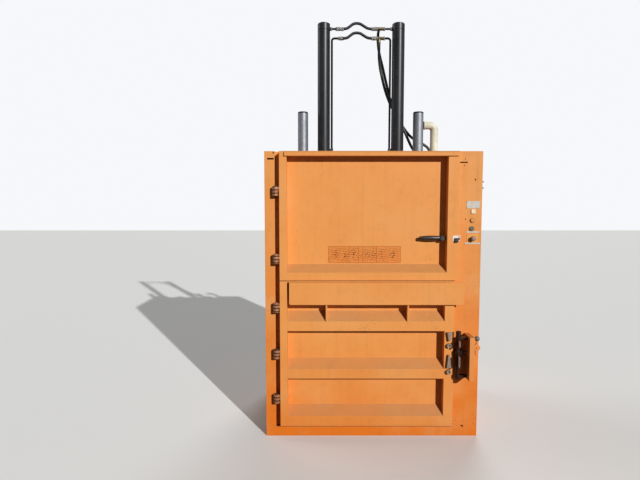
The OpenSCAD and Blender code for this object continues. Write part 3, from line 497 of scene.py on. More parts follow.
# Steel strikers that the claws pull on: ground to the metal, grey-pink and duller than chrome.
STRUCK_STEEL = Finish(
    "struck_bare_steel", base="#A59486", patch="#8A7264", patch_mm=20, patch_amount=0.7,
    grime="#4A3024", grime_mm=14, grime_amount=0.6, edge_tone="#D6C6BA", edge_round_mm=2.5, roughness=0.45,
    metallic=0.4, grain_mm=2.5, grain_height_mm=0.12)
# Claws that meet the strikers: greased black, with a painted highlight along the edge that faces
# them.
CLAW_STEEL = HighlitTips(
    "greased_claw_steel", base="#22120C", patch="#3A1E14", patch_mm=26, grime="#120A07",
    grime_mm=12, grime_amount=0.4, roughness=0.5, metallic=0.2, grain_mm=3, gloss=0.3)
# Greased shaft steel: nearly black brown, with a soft shine where it turns.
DARK_STEEL = Finish(
    "greased_dark_steel", base="#2E1A12", patch="#5A2E1C", patch_mm=26, grime="#120A07",
    grime_mm=12, grime_amount=0.5, edge_tone="#9C8A7E", edge_round_mm=2.0, roughness=0.42, metallic=0.5,
    grain_mm=3)
# Black enamel on the cylinders: half gloss, so each shows one long highlight, and dusty scuffs.
CYLINDER_BLACK = Finish(
    "black_cylinder_enamel", base="#131519", patch="#282A2F", patch_mm=160, patch_amount=0.5,
    grime="#5A5853", grime_mm=26, grime_amount=0.25, edge_tone="#6F7076", edge_round_mm=2.0, roughness=0.38,
    roughness_spread=0.06, grain_mm=5, grain_height_mm=0.04, stretch=(1.0, 1.0, 0.35), gloss=0.36)
# The same enamel brushed on thin pipe: dull, so the pipes read as black lines.
PIPE_BLACK = Finish(
    "brushed_pipe_enamel", base="#121317", patch="#1E1F23", patch_mm=90, grime="#3A3834",
    grime_mm=20, grime_amount=0.2, roughness=0.7, grain_mm=4, grain_height_mm=0.06, gloss=0.06)
# Black paint on small steel parts: a soft shine, greyer on its rubbed edges.
SATIN_BLACK = Finish(
    "satin_black_enamel", base="#17181B", patch="#2A2B2E", patch_mm=60, grime="#4A4640",
    grime_mm=18, grime_amount=0.3, edge_tone="#5B5B5E", edge_round_mm=1.5, roughness=0.42, grain_mm=4)
# Zinc plate on bolts and crimps: small, cold and bright, browned in its corners.
ZINC = Finish(
    "zinc_plated_steel", base="#C4C4C2", patch="#9A978E", patch_mm=18, grime="#4B443B",
    grime_mm=9, grime_amount=0.4, edge_tone="#DADAD8", edge_round_mm=1.0, roughness=0.34, metallic=0.7,
    grain_mm=2)
# The adapters between pipe and hose: oil-darkened, with brighter corners.
OILED_FITTING = Finish(
    "oiled_pipe_fitting", base="#3A3A3A", patch="#56534E", patch_mm=14, grime="#17140F",
    grime_mm=8, grime_amount=0.5, edge_tone="#B8B6B2", edge_round_mm=1.2, roughness=0.36, metallic=0.7,
    grain_mm=2)
# Brass that has browned outdoors: only its corners still shine yellow.
BRASS = Finish(
    "dull_brass", base="#76684A", patch="#5C5140", patch_mm=16, grime="#332A1C", grime_mm=8,
    grime_amount=0.5, edge_tone="#C8BC98", edge_round_mm=1.0, roughness=0.42, metallic=0.9, grain_mm=2)
# Zinc-dipped tube: grey-blue, with faint crystals and a broad soft highlight down its side.
GALVANISED = Spangle(
    "hot_dip_galvanised", base="#7F8389", patch="#8C9096", grime="#6A6C70", grime_mm=90,
    grime_amount=0.3, edge_tone="#C4C6C8", edge_round_mm=1.5, roughness=0.54, metallic=0.75, grain_mm=12,
    grain_height_mm=0.03)
# Ground chrome on the press rods: a clean mirror that the wipers keep bright.
CHROME_ROD = Finish(
    "hard_chrome_rod", base="#C9CBCE", patch="#B9BBBF", patch_mm=120, grime="#6B665C",
    grime_mm=40, grime_amount=0.12, roughness=0.14, roughness_spread=0.05, metallic=1.0,
    grain_mm=20, grain_height_mm=0.01)
# Grey-cream PVC, chalked outdoors, with brown dust that rain has washed down.
CREAM_PVC = Finish(
    "aged_cream_pvc", base="#DFDBC8", patch="#BFB89C", patch_mm=40, patch_amount=0.7,
    grime="#7E745C", grime_mm=20, grime_amount=0.5, edge_tone="#E8E5DA", edge_round_mm=2.5, roughness=0.6,
    grain_mm=8, grain_height_mm=0.5, stretch=(1.0, 1.0, 0.5))
# Hose cover rubber: matt black with a grey bloom, ribbed by the wrap it was cured in.
RUBBER = BraidedHose(
    "hose_rubber", base="#15161A", patch="#2C2C2E", patch_mm=90, grime="#5C564C", grime_mm=24,
    grime_amount=0.3, roughness=0.5, grain_mm=3, grain_height_mm=0.08)
# Glass-filled nylon of the grip: dark, faintly brown, polished by hands.
HANDLE_BLACK = Finish(
    "moulded_black_nylon", base="#1B1715", patch="#4A3A30", patch_mm=50, patch_amount=0.6,
    grime="#6B5240", grime_mm=16, grime_amount=0.35, edge_tone="#5A4A40", edge_round_mm=2.0, roughness=0.38,
    grain_mm=3, grain_height_mm=0.05)
# Pale plastic plates: chalky, with dust in their corners.
PALE_PLATE = Finish(
    "pale_engraved_plate", base="#C9C4BA", patch="#B0A79A", patch_mm=30, patch_amount=0.7,
    grime="#7D7468", grime_mm=14, grime_amount=0.4, roughness=0.45, grain_mm=2)
# White tape under the switch: the palest spot on the front, dusty at its edge.
WHITE_TAPE = Finish(
    "white_label_tape", base="#EDE6DA", patch="#DCCFBE", patch_mm=26, grime="#A88B6C",
    grime_mm=12, grime_amount=0.4, roughness=0.5, grain_mm=3)
# The indicator's lens: milky, slightly warm, with a clear skin that shines.
LAMP = Finish(
    "milky_lamp_lens", base="#EFE2C4", patch="#D9BE8C", patch_mm=16, grime="#A58152", grime_mm=8,
    grime_amount=0.3, roughness=0.3, grain_mm=4, coat=0.3)
# Plate behind the stop knob: yellow that has bleached towards the paint around it.
YELLOW = Finish(
    "faded_yellow_plate", base="#DC9C34", patch="#DC8A40", patch_mm=30, grime="#8A5F22",
    grime_mm=12, grime_amount=0.35, edge_tone="#F0D8A0", edge_round_mm=1.0, roughness=0.5, grain_mm=3)
# The stop knob: red once, now a chalky grey pink.
FADED_RED = Finish(
    "bleached_red_plastic", base="#A08078", patch="#866660", patch_mm=14, grime="#4A342C",
    grime_mm=8, grime_amount=0.4, edge_tone="#C0A094", edge_round_mm=1.5, roughness=0.45, grain_mm=3)
# Second button: hard grey-green plastic, darker than what is near it, with dirt at its edge.
OLIVE_BUTTON = Finish(
    "grey_green_button", base="#5E6250", patch="#494C3E", patch_mm=10, grime="#2A2A22",
    grime_mm=6, grime_amount=0.4, edge_tone="#8B8D7C", edge_round_mm=1.0, roughness=0.4, grain_mm=3)
# Start button: the same plastic, its amber bleached until it nearly matches the paint.
AMBER_BUTTON = Finish(
    "amber_button", base="#D98A42", patch="#C47A38", patch_mm=10, grime="#5C3A1C", grime_mm=6,
    grime_amount=0.4, edge_tone="#D6B070", edge_round_mm=1.0, roughness=0.4, grain_mm=3)
# Plated bezels that have browned: a tan ring that sets each button off.
BEZEL = Finish(
    "browned_bezel", base="#A8803E", patch="#8A6A3A", patch_mm=10, grime="#4A3418", grime_mm=6,
    grime_amount=0.4, edge_tone="#D0B88A", edge_round_mm=1.0, roughness=0.4, metallic=0.4, grain_mm=2)
# The ball on the release lever: grey phenolic resin, dull where hands don't reach.
KNOB_GREY = Finish(
    "grey_ball_knob", base="#6F6A66", patch="#4E4945", patch_mm=12, grime="#2A2522", grime_mm=7,
    grime_amount=0.4, roughness=0.4, grain_mm=3)
# Vinyl strip: its orange has stayed a shade deeper than the bleached paint.
STICKER = Finish(
    "faded_vinyl_strip", base="#D87C30", patch="#E08E46", patch_mm=50, grime="#A9622E",
    grime_mm=24, grime_amount=0.4, roughness=0.5, grain_mm=4, gloss=0.3)
# Screen ink on the strip: faded brown, thin enough to pick up the strip's own orange.
STICKER_INK = Finish(
    "faded_strip_ink", base="#4E240E", patch="#7A3E1A", patch_mm=14, patch_amount=0.8,
    grime="#3A1808", grime_mm=10, grime_amount=0.4, roughness=0.5, grain_mm=4, gloss=0.3)
# Weld beads under paint: the ripples catch more dirt than the sheet.
WELD = Finish(
    "painted_weld_bead", base="#C4702F", patch="#D98A48", patch_mm=20, grime="#6A3A1C",
    grime_mm=9, grime_amount=0.4, roughness=0.5, grain_mm=2, grain_height_mm=0.2)
# Inside the chamber the paint is scoured by cardboard: brown, dusty and dull.
INSIDE = Finish(
    "dusty_inner_steel", base="#8F5A30", patch="#6E4A30", patch_mm=160, grime="#3A2C22",
    grime_mm=60, grime_amount=0.4, roughness=0.6, metallic=0.1, grain_mm=8)


def add_object(name: str, mesh: bpy.types.Mesh) -> Thing:
    """Puts a mesh into the scene as an object at the origin.

    Args:
        name: The object's name.
        mesh: Its mesh, in metres.

    Returns:
        The new object.
    """
    obj = bpy.data.objects.new(name, mesh)
    bpy.context.scene.collection.objects.link(obj)
    return obj


def add_build(name: str, build: bmesh.types.BMesh) -> Thing:
    """Turns a bmesh into an object at the origin, and frees it.

    Args:
        name: The object's name.
        build: The finished bmesh, in metres.

    Returns:
        The new object.
    """
    mesh = bpy.data.meshes.new(name)
    build.to_mesh(mesh)
    build.free()
    return add_object(name, mesh)


def add_mesh(name: str, points: Iterable[Point], edges: Sequence[tuple[int, int]] = (),
             faces: Sequence[Sequence[int]] = ()) -> Thing:
    """Makes an object at the origin from points in millimetres.

    Args:
        name: The object's name.
        points: Its corners in millimetres.
        edges: Corner numbers of each loose edge.
        faces: Corner numbers of each face.

    Returns:
        The new object.
    """
    mesh = bpy.data.meshes.new(name)
    mesh.from_pydata([tuple(c * MM for c in p) for p in points], edges, faces)
    return add_object(name, mesh)


def add_plate(name: str, low: Point, high: Point, bevel_mm: float) -> Thing:
    """Makes a thin plate with small rounded edges between two corners in millimetres.

    Args:
        name: The object's name.
        low: Its lowest corner.
        high: Its highest corner.
        bevel_mm: The rounding of its edges.

    Returns:
        The plate.
    """
    start, end = (Vector([c * MM for c in corner]) for corner in (low, high))
    size = end - start
    rounding = min(bevel_mm * MM, 0.45 * min(size))  # both edges of the thinnest side keep a flat
    build = bmesh.new()
    bmesh.ops.create_cube(build, size=1.0, matrix=Matrix.Translation((start + end) / 2)
                          @ Matrix.Diagonal((*size, 1.0)))
    bmesh.ops.bevel(build, geom=build.edges[:], offset=rounding, segments=2, affect="EDGES")
    return add_build(name, build)


def smooth_route(points: Sequence[Point], steps: int) -> list[Vector]:
    """Runs a smooth curve through every point of a route.

    Args:
        points: The route's points in metres.
        steps: Pieces between two points.

    Returns:
        Points close together along the curve.
    """
    ends = [2 * Vector(points[0]) - Vector(points[1]), *map(Vector, points),
            2 * Vector(points[-1]) - Vector(points[-2])]
    path = []
    for a, b, c, d in zip(ends, ends[1:], ends[2:], ends[3:]):
        for k in range(steps):
            t = k / steps
            path.append(0.5 * (2 * b + (c - a) * t + (2 * a - 5 * b + 4 * c - d) * t * t
                               + (3 * b - a - 3 * c + d) * t ** 3))
    return [*path, Vector(points[-1])]


def add_tube(name: str, path: Sequence[Vector], radius: float, sides: int = 16) -> Thing:
    """Sweeps a closed tube along a path, with a UV map in metres along and around it.

    Args:
        name: The object's name.
        path: The centreline.
        radius: The tube's radius in metres.
        sides: Points around it.

    Returns:
        The tube.
    """
    build = bmesh.new()
    uv = build.loops.layers.uv.new("along")
    first = path[1] - path[0]
    side = first.cross(Vector((0, 1, 0)))
    if side.length < 0.3 * first.length:  # a path that starts nearly along Y turns about X instead
        side = first.cross(Vector((1, 0, 0)))
    rings, gone, run = [], 0.0, []
    for i, centre in enumerate(path):
        ahead = (path[min(i + 1, len(path) - 1)] - path[max(i - 1, 0)]).normalized()
        side = (side - side.dot(ahead) * ahead).normalized()
        up = ahead.cross(side)
        gone += (centre - path[i - 1]).length if i else 0.0
        run.append(gone)
        rings.append([build.verts.new(centre + radius * (math.cos(a) * side + math.sin(a) * up))
                      for a in (2 * math.pi * k / sides for k in range(sides))])
    around = 2 * math.pi * radius
    for i in range(len(path) - 1):
        for k in range(sides):
            n = (k + 1) % sides
            face = build.faces.new((rings[i][k], rings[i][n], rings[i + 1][n], rings[i + 1][k]))
            face.smooth = True
            corners = ((k, i), (k + 1, i), (k + 1, i + 1), (k, i + 1))
            for loop, (u, v) in zip(face.loops, corners):
                loop[uv].uv = (u / sides * around, run[v])
    build.faces.new(rings[0][::-1])
    build.faces.new(rings[-1])
    bmesh.ops.recalc_face_normals(build, faces=build.faces)
    return add_build(name, build)


def place(piece: Thing, body: Body) -> None:
    """Rides a finished piece on its body and reports it.

    Args:
        piece: The piece.
        body: The body that carries it.
    """
    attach(piece, body.value)
    LOG.info("%s on %s", piece.name, body.value)


class Finishes:
    """Builds each material once and hands it out."""

    def __init__(self) -> None:
        """Starts with no material built."""
        self.built: dict[str, bpy.types.Material] = {}

    def get(self, finish: Finish) -> bpy.types.Material:
        """Gives a finish's material, building it the first time.

        Args:
            finish: The finish.

        Returns:
            Its material.
        """
        if finish.name not in self.built:
            self.built[finish.name] = finish.build()
        return self.built[finish.name]

    def dress(self, obj: Thing, finish: Finish) -> None:
        """Puts one finish in every material slot of an object.

        Args:
            obj: The object.
            finish: Its finish.
        """
        material = self.get(finish)
        if not obj.material_slots:
            obj.data.materials.append(material)
        for part in obj.material_slots:
            part.material = material


@dataclass
class RepeatTree:
    """A Geometry Nodes tree that sets one small shape on every point of a mesh."""

    name: str
    sizes: dict[str, float]
    tree: Tree = field(init=False)
    start: bpy.types.Node = field(init=False)

    def __post_init__(self) -> None:
        """Makes the tree's interface with its named sizes."""
        self.tree = bpy.data.node_groups.new(self.name, "GeometryNodeTree")
        face = self.tree.interface
        face.new_socket("Geometry", in_out="INPUT", socket_type="NodeSocketGeometry")
        for label, value in self.sizes.items():
            size = face.new_socket(label, in_out="INPUT", socket_type="NodeSocketFloat")
            size.default_value = value
        face.new_socket("Finish", in_out="INPUT", socket_type="NodeSocketMaterial")
        face.new_socket("Geometry", in_out="OUTPUT", socket_type="NodeSocketGeometry")
        self.start = add_node(self.tree, "NodeGroupInput")

    def close(self, geometry: Socket) -> None:
        """Ends the tree in real, dressed geometry.

        Args:
            geometry: The instances.
        """
        real = add_node(self.tree, "GeometryNodeRealizeInstances", links={"Geometry": geometry})
        dressed = add_node(self.tree, "GeometryNodeSetMaterial",
                           links={"Geometry": real.outputs["Geometry"],
                                  "Material": self.start.outputs["Finish"]})
        add_node(self.tree, "NodeGroupOutput", links={0: dressed.outputs["Geometry"]})

    def apply(self, obj: Thing, values: dict[str, object]) -> Thing:
        """Runs the tree on an object and keeps the result as its plain mesh.

        Args:
            obj: The object whose points or edges the tree follows.
            values: The tree's inputs by name.

        Returns:
            The same object, with its new mesh.
        """
        modifier = obj.modifiers.new(self.name, "NODES")
        modifier.node_group = self.tree
        for item in self.tree.interface.items_tree:
            if item.in_out == "INPUT" and item.name in values:
                modifier[item.identifier] = values[item.name]
        graph = bpy.context.evaluated_depsgraph_get()
        mesh = bpy.data.meshes.new_from_object(obj.evaluated_get(graph))
        obj.modifiers.remove(modifier)
        obj.data = mesh
        return obj


class ScrewTree(RepeatTree):
    """Round screw heads with a raised hexagon, one on every point."""

    HEXAGON_ACROSS = 0.62  # shares of the head's radius and of its height
    HEXAGON_HEIGHT = 1.35

    def __init__(self) -> None:
        """Builds the tree."""
        super().__init__("screws", {"Head radius": 0.006, "Head height": 0.003,
                                    "Turn X": math.pi / 2, "Turn Y": 0.0})
        tree, size = self.tree, self.start.outputs
        head = add_node(tree, "GeometryNodeMeshCylinder", inputs={"Vertices": 16},
                        links={"Radius": size["Head radius"], "Depth": size["Head height"]})
        across = add_node(tree, "ShaderNodeMath", TIMES, {1: self.HEXAGON_ACROSS},
                          {0: size["Head radius"]})
        high = add_node(tree, "ShaderNodeMath", TIMES, {1: self.HEXAGON_HEIGHT},
                        {0: size["Head height"]})
        crown = add_node(tree, "GeometryNodeMeshCylinder", inputs={"Vertices": 6},
                         links={"Radius": across.outputs[0], "Depth": high.outputs[0]})
        both = add_node(tree, "GeometryNodeJoinGeometry")
        tree.links.new(crown.outputs["Mesh"], both.inputs[0])
        tree.links.new(head.outputs["Mesh"], both.inputs[0])
        turn = add_node(tree, "ShaderNodeCombineXYZ",
                        links={"X": size["Turn X"], "Y": size["Turn Y"]})
        spots = add_node(tree, "GeometryNodeInstanceOnPoints",
                         links={"Points": size["Geometry"], "Instance": both.outputs[0],
                                "Rotation": turn.outputs[0]})
        self.close(spots.outputs["Instances"])


class BeadTree(RepeatTree):
    """A weld bead or crimp: overlapping flattened drops along every edge."""

    FLATTENED = (1.0, 1.0, 0.7)

    def __init__(self) -> None:
        """Builds the tree."""
        super().__init__("beads", {"Radius": 0.004, "Pitch": 0.005})
        tree, size = self.tree, self.start.outputs
        line = add_node(tree, "GeometryNodeMeshToCurve", links={"Mesh": size["Geometry"]})
        steps = add_node(tree, "GeometryNodeResampleCurve", {"mode": "LENGTH"},
                         links={"Curve": line.outputs["Curve"], "Length": size["Pitch"]})
        drop = add_node(tree, "GeometryNodeMeshUVSphere", inputs={"Segments": 8, "Rings": 5},
                        links={"Radius": size["Radius"]})
        soft = add_node(tree, "GeometryNodeSetShadeSmooth",
                        links={"Geometry": drop.outputs["Mesh"]})
        along = add_node(tree, "GeometryNodeInputTangent")
        turn = add_node(tree, "FunctionNodeAlignEulerToVector", {"axis": "Z"},
                        links={"Vector": along.outputs[0]})
        spots = add_node(tree, "GeometryNodeInstanceOnPoints", inputs={"Scale": self.FLATTENED},
                         links={"Points": steps.outputs["Curve"], "Instance": soft.outputs[0],
                                "Rotation": turn.outputs[0]})
        self.close(spots.outputs["Instances"])


@dataclass
class Workshop:
    """The materials and the repeating trees that every sub-assembly uses."""

    finishes: Finishes = field(default_factory=Finishes)
    screws: ScrewTree = field(default_factory=ScrewTree)
    beads: BeadTree = field(default_factory=BeadTree)
    head_share: float = 0.55
    pitch_share: float = 1.1

    def add_screws(self, name: str, points: Iterable[Point], finish: Finish, radius: float,
                   facing: Facing = Facing.FRONT) -> Thing:
        """Sets a screw on each point.

        Args:
            name: The piece's name.
            points: Where the heads' middles lie, in millimetres.
            finish: The screws' finish.
            radius: Head radius in millimetres.
            facing: Where the heads face.

        Returns:
            The screws as one piece.
        """
        turn_x, turn_y = facing.value
        return self.screws.apply(add_mesh(name, points), {
            "Head radius": radius * MM, "Head height": radius * self.head_share * MM,
            "Turn X": turn_x, "Turn Y": turn_y, "Finish": self.finishes.get(finish)})

    def add_welds(self, name: str, lines: Sequence[tuple[Point, Point]],
                  radius: float = 3.0) -> Thing:
        """Lays a weld bead along each line.

        Args:
            name: The piece's name.
            lines: Start and end of each bead, in millimetres.
            radius: The bead's radius in millimetres.

        Returns:
            The beads as one piece.
        """
        edges = [(2 * k, 2 * k + 1) for k in range(len(lines))]
        return self.beads.apply(add_mesh(name, [end for line in lines for end in line], edges), {
            "Radius": radius * MM, "Pitch": radius * self.pitch_share * MM,
            "Finish": self.finishes.get(WELD)})


@dataclass(frozen=True)
class Sun:
    """One lamp far away: its strength, how wide it looks and how it is turned."""

    name: str
    energy: float
    angle_deg: float
    turn_deg: Point


@dataclass
class Studio:
    """The camera at the photograph's viewpoint, plain lights and a pale floor."""

    camera_at: Point = (-0.421, -4.341, 1.893)
    tilt_down_deg: float = 4.3
    lens_mm: float = 27.06
    sensor_mm: float = 36.0
    sight_m: float = 200.0
    # The key lights the doors' edges from where the photograph has them lit. The others fill in.
    suns: tuple[Sun, ...] = (
        Sun("key", 3.85, 0.8, (68, 0, 31)), Sun("fill", 0.03, 60.0, (60, 0, -45)),
        Sun("rear", 1.2, 30.0, (55, 0, 165)), Sun("side", 0.7, 40.0, (62, 0, -110)))
    surround: str = "#FBFCFF"
    surround_seen: float = 0.96
    surround_gloss: float = 0.4
    surround_light: float = 0.045
    floor: str = "#E4E4E2"
    floor_bounce: str = "#4C4A48"
    floor_roughness: float = 0.9
    floor_reach_mm: float = 30000.0
    floor_drop_mm: float = 0.5

    def build(self) -> None:
        """Builds the whole studio."""
        self.add_camera()
        self.add_lights()
        self.add_world()
        self.add_ground()
        LOG.info("studio")

    def add_camera(self) -> None:
        """Sets the camera that the photograph's perspective was fitted with."""
        data = bpy.data.cameras.new("camera")
        data.lens = self.lens_mm
        data.sensor_width = self.sensor_mm
        data.clip_end = self.sight_m
        obj = bpy.data.objects.new("camera", data)
        obj.location = self.camera_at
        obj.rotation_euler = (math.radians(90 - self.tilt_down_deg), 0, 0)
        bpy.context.scene.collection.objects.link(obj)
        bpy.context.scene.camera = obj
        bpy.context.scene.view_settings.view_transform = "Standard"

    def add_lights(self) -> None:
        """Lights the front from high on the right, and the left side and the back more softly."""
        for sun in self.suns:
            data = bpy.data.lights.new(sun.name, "SUN")
            data.energy = sun.energy
            data.angle = math.radians(sun.angle_deg)
            obj = bpy.data.objects.new(sun.name, data)
            obj.rotation_euler = [math.radians(v) for v in sun.turn_deg]
            bpy.context.scene.collection.objects.link(obj)

    def add_world(self) -> None:
        """Gives an even surround: white to the camera, softer to gloss and softest as light."""
        world = bpy.data.worlds.new("studio")
        bpy.context.scene.world = world
        world.use_nodes = True
        tree = world.node_tree
        tree.nodes.clear()
        seen = add_node(tree, "ShaderNodeLightPath")
        plain = add_node(tree, "ShaderNodeMapRange", links={"Value": seen.outputs["Is Glossy Ray"]},
                         inputs={"To Min": self.surround_light, "To Max": self.surround_gloss})
        level = add_node(tree, "ShaderNodeMix", {"data_type": "FLOAT"}, {3: self.surround_seen},
                         {0: seen.outputs["Is Camera Ray"], 2: plain.outputs[0]})
        back = add_node(tree, "ShaderNodeBackground", inputs={"Color": linear(self.surround)},
                        links={"Strength": level.outputs[0]})
        add_node(tree, "ShaderNodeOutputWorld", links={"Surface": back.outputs[0]})

    def add_ground(self) -> None:
        """Lays a plain pale floor."""
        reach, z = self.floor_reach_mm, -self.floor_drop_mm
        floor = add_mesh("studio_floor", [(-reach, -reach, z), (reach, -reach, z),
                                          (reach, reach, z), (-reach, reach, z)],
                         faces=[(0, 1, 2, 3)])
        material = bpy.data.materials.new("pale_floor")
        material.use_nodes = True
        tree = material.node_tree
        seen = add_node(tree, "ShaderNodeLightPath")
        tone = lay_over(tree, self.floor_bounce, self.floor, seen.outputs["Is Camera Ray"])
        shader = tree.nodes["Principled BSDF"]
        shader.inputs["Roughness"].default_value = self.floor_roughness
        tree.links.new(tone, shader.inputs["Base Color"])
        floor.data.materials.append(material)


Dressing = tuple[tuple[Finish, tuple[str, ...]], ...]


@dataclass
class SubAssembly:
    """CAD nodes that belong together, with their finishes, and the pieces added to them."""

    dressing: Dressing = ()

    def build(self, shop: Workshop) -> None:
        """Dresses the CAD nodes and adds the pieces.

        Args:
            shop: The materials and the repeating trees.
        """
        for finish, nodes in self.dressing:
            for node in nodes:
                shop.finishes.dress(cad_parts[node], finish)
                LOG.info("%s in %s", node, finish.name)
        self.add_pieces(shop)

    def add_pieces(self, shop: Workshop) -> None:
        """Adds nothing, unless the sub-assembly has pieces of its own."""


@dataclass(frozen=True)
class Hose:
    """One hydraulic hose or cable, on the route that the CAD gives it."""

    name: str
    node: str
    route_mm: tuple[Point, ...]
    diameter_mm: float = 24.0
    lay: Lay = Lay.TAUT
    stiffness: Stiffness = Stiffness.STIFF
    steps: int = 6
    path_points: int = 36

    def build(self, finishes: Finishes) -> None:
        """Args:
            finishes: The materials.
        """
        points = [tuple(c * MM for c in p) for p in self.route_mm]
        path = smooth_route(points, self.steps)
        hose = add_tube(self.name, path, self.diameter_mm * MM / 2)
        finishes.dress(hose, RUBBER)
        place(hose, Body.MACHINE)
        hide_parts(self.node)


@dataclass
class HydraulicLines(SubAssembly):
    """The hoses and pipes over the press, with their crimped ferrules, tees and nuts."""

    dressing: Dressing = (
        (PIPE_BLACK, ("rod_end_pipes",)), (OILED_FITTING, ("line_fittings",)),
        (BRASS, ("brass_tees",)))
    press_y: float = -38.0
    upper_z: float = 3407.0
    lower_z: float = 3327.0
    ring_sides: int = 24
    crimp_radius: float = 14.6
    crimp_bead_mm: float = 3.0
    crimp_pitch_mm: float = 3.4
    # The height of each ferrule's row of crimp rings, and where along X its rings lie.
    crimp_rows: tuple[tuple[float, range], ...] = (
        (upper_z, range(-276, -219, 7)), (lower_z, range(-247, -219, 7)),
        (upper_z, range(30, 61, 7)), (lower_z, range(30, 61, 7)))
    # Where each nut starts along X, its height, how far it reaches along X and its radius.
    nuts: tuple[tuple[float, float, float, float], ...] = (
        (-329, upper_z, 14, 15), (202, upper_z, -14, 15), (-250, lower_z, -16, 15),
        (62, upper_z, -14, 17), (62, upper_z, 17, 17), (131, upper_z, 12, 17),
        (62, lower_z, -14, 17), (62, lower_z, 17, 17), (131, lower_z, 12, 17))
    # A nut's chamfered outline: shares of its length, and of its radius there.
    nut_outline: tuple[tuple[float, float], ...] = (
        (0.0, 0.9), (0.12, 1.0), (0.88, 1.0), (1.0, 0.9))
    hoses: tuple[Hose, ...] = (
        Hose("upper_crossover_hose", "upper_hose", (
            (-216, -38, 3407), (-185, -38, 3413), (-159, -38, 3430), (-133, -38, 3448),
            (-103, -38, 3454), (-69, -38, 3448), (-39, -38, 3430), (-8, -38, 3413),
            (26, -38, 3407))),
        Hose("lower_crossover_hose", "lower_hose", (
            (-216, -38, 3327), (-185, -38, 3333), (-159, -38, 3350), (-133, -38, 3368),
            (-103, -38, 3374), (-69, -38, 3368), (-39, -38, 3350), (-8, -38, 3333),
            (26, -38, 3327))),
        Hose("pressure_supply_hose", "pressure_hose", (
            (94, 0, 3407), (94, 37, 3400), (95, 68, 3379), (97, 89, 3348), (101, 96, 3308),
            (109, 98, 3255), (123, 98, 3195), (141, 96, 3125), (160, 94, 3045), (180, 90, 2960),
            (202, 88, 2870), (228, 84, 2790), (262, 80, 2710), (302, 76, 2630), (346, 70, 2560),
            (396, 64, 2500), (450, 58, 2462), (505, 58, 2432), (550, 58, 2400), (570, 58, 2365),
            (576, 58, 2336)), lay=Lay.HANGING, stiffness=Stiffness.MEDIUM),
        Hose("return_supply_hose", "return_hose", (
            (94, -38, 3291), (94, -34, 3262), (96, -12, 3222), (102, 22, 3170), (114, 46, 3100),
            (132, 52, 3020), (154, 50, 2930), (180, 48, 2850), (214, 46, 2770), (256, 44, 2695),
            (298, 42, 2620), (338, 38, 2540), (372, 34, 2462), (404, 34, 2398), (440, 36, 2352),
            (482, 42, 2329), (520, 52, 2322), (552, 58, 2322)),
            lay=Lay.HANGING, stiffness=Stiffness.MEDIUM),
        Hose("conduit_outlet_cable", "conduit_cable", (
            (566, 170, 2608), (540, 170, 2605), (515, 170, 2594), (494, 170, 2573),
            (480, 170, 2542), (472, 170, 2500), (464, 170, 2440), (457, 171, 2385),
            (452, 172, 2331)), diameter_mm=16.0, lay=Lay.HANGING, stiffness=Stiffness.MEDIUM))

    def add_pieces(self, shop: Workshop) -> None:
        """Makes the hoses first, then their hardware.

        Args:
            shop: The materials and the repeating trees.
        """
        for hose in self.hoses:
            hose.build(shop.finishes)
        self.add_crimps(shop)
        self.add_nuts(shop.finishes)

    def ring(self, x: float, z: float, radius: float, sides: int) -> list[Point]:
        """Gives points on a ring about a line along X, in millimetres."""
        return [(x, self.press_y + radius * math.cos(a), z + radius * math.sin(a))
                for a in (2 * math.pi * k / sides for k in range(sides))]

    def add_crimps(self, shop: Workshop) -> None:
        """Presses crimp rings into the ferrules, as the hose maker's dies leave them.

        Args:
            shop: The materials and the repeating trees.
        """
        sides = self.ring_sides
        points: list[Point] = []
        edges: list[tuple[int, int]] = []
        for z, places in self.crimp_rows:
            for x in places:
                first = len(points)
                points += self.ring(x, z, self.crimp_radius, sides)
                edges += [(first + k, first + (k + 1) % sides) for k in range(sides)]
        crimps = shop.beads.apply(add_mesh("ferrule_crimps", points, edges), {
            "Radius": self.crimp_bead_mm * MM, "Pitch": self.crimp_pitch_mm * MM,
            "Finish": shop.finishes.get(ZINC)})
        place(crimps, Body.MACHINE)

    def add_nuts(self, finishes: Finishes) -> None:
        """Sets a bevelled hexagon nut at each port and beside each tee.

        Args:
            finishes: The materials.
        """
        build = bmesh.new()
        for x, z, depth, radius in self.nuts:
            rings = [[build.verts.new([c * MM for c in p])
                      for p in self.ring(x + along * depth, z, radius * share, 6)]
                     for along, share in self.nut_outline]
            for a, b in zip(rings, rings[1:]):
                for k in range(6):
                    build.faces.new((a[k], a[(k + 1) % 6], b[(k + 1) % 6], b[k]))
            build.faces.new(rings[0][::-1])
            build.faces.new(rings[-1])
        bmesh.ops.recalc_face_normals(build, faces=build.faces)
        nuts = add_build("port_nuts", build)
        finishes.dress(nuts, ZINC)
        place(nuts, Body.MACHINE)


@dataclass
class Press(SubAssembly):
    """The two cylinders, the guide tubes beside them, and the rods and platen that they move."""

    dressing: Dressing = (
        (CYLINDER_BLACK, ("left_cylinder", "right_cylinder", "cylinder_caps")),
        (SATIN_BLACK, ("guide_caps",)), (ZINC, ("flange_bolts",)),
        (GALVANISED, ("guide_tubes",)), (CHROME_ROD, ("press_rods",)), (INSIDE, ("platen",)))


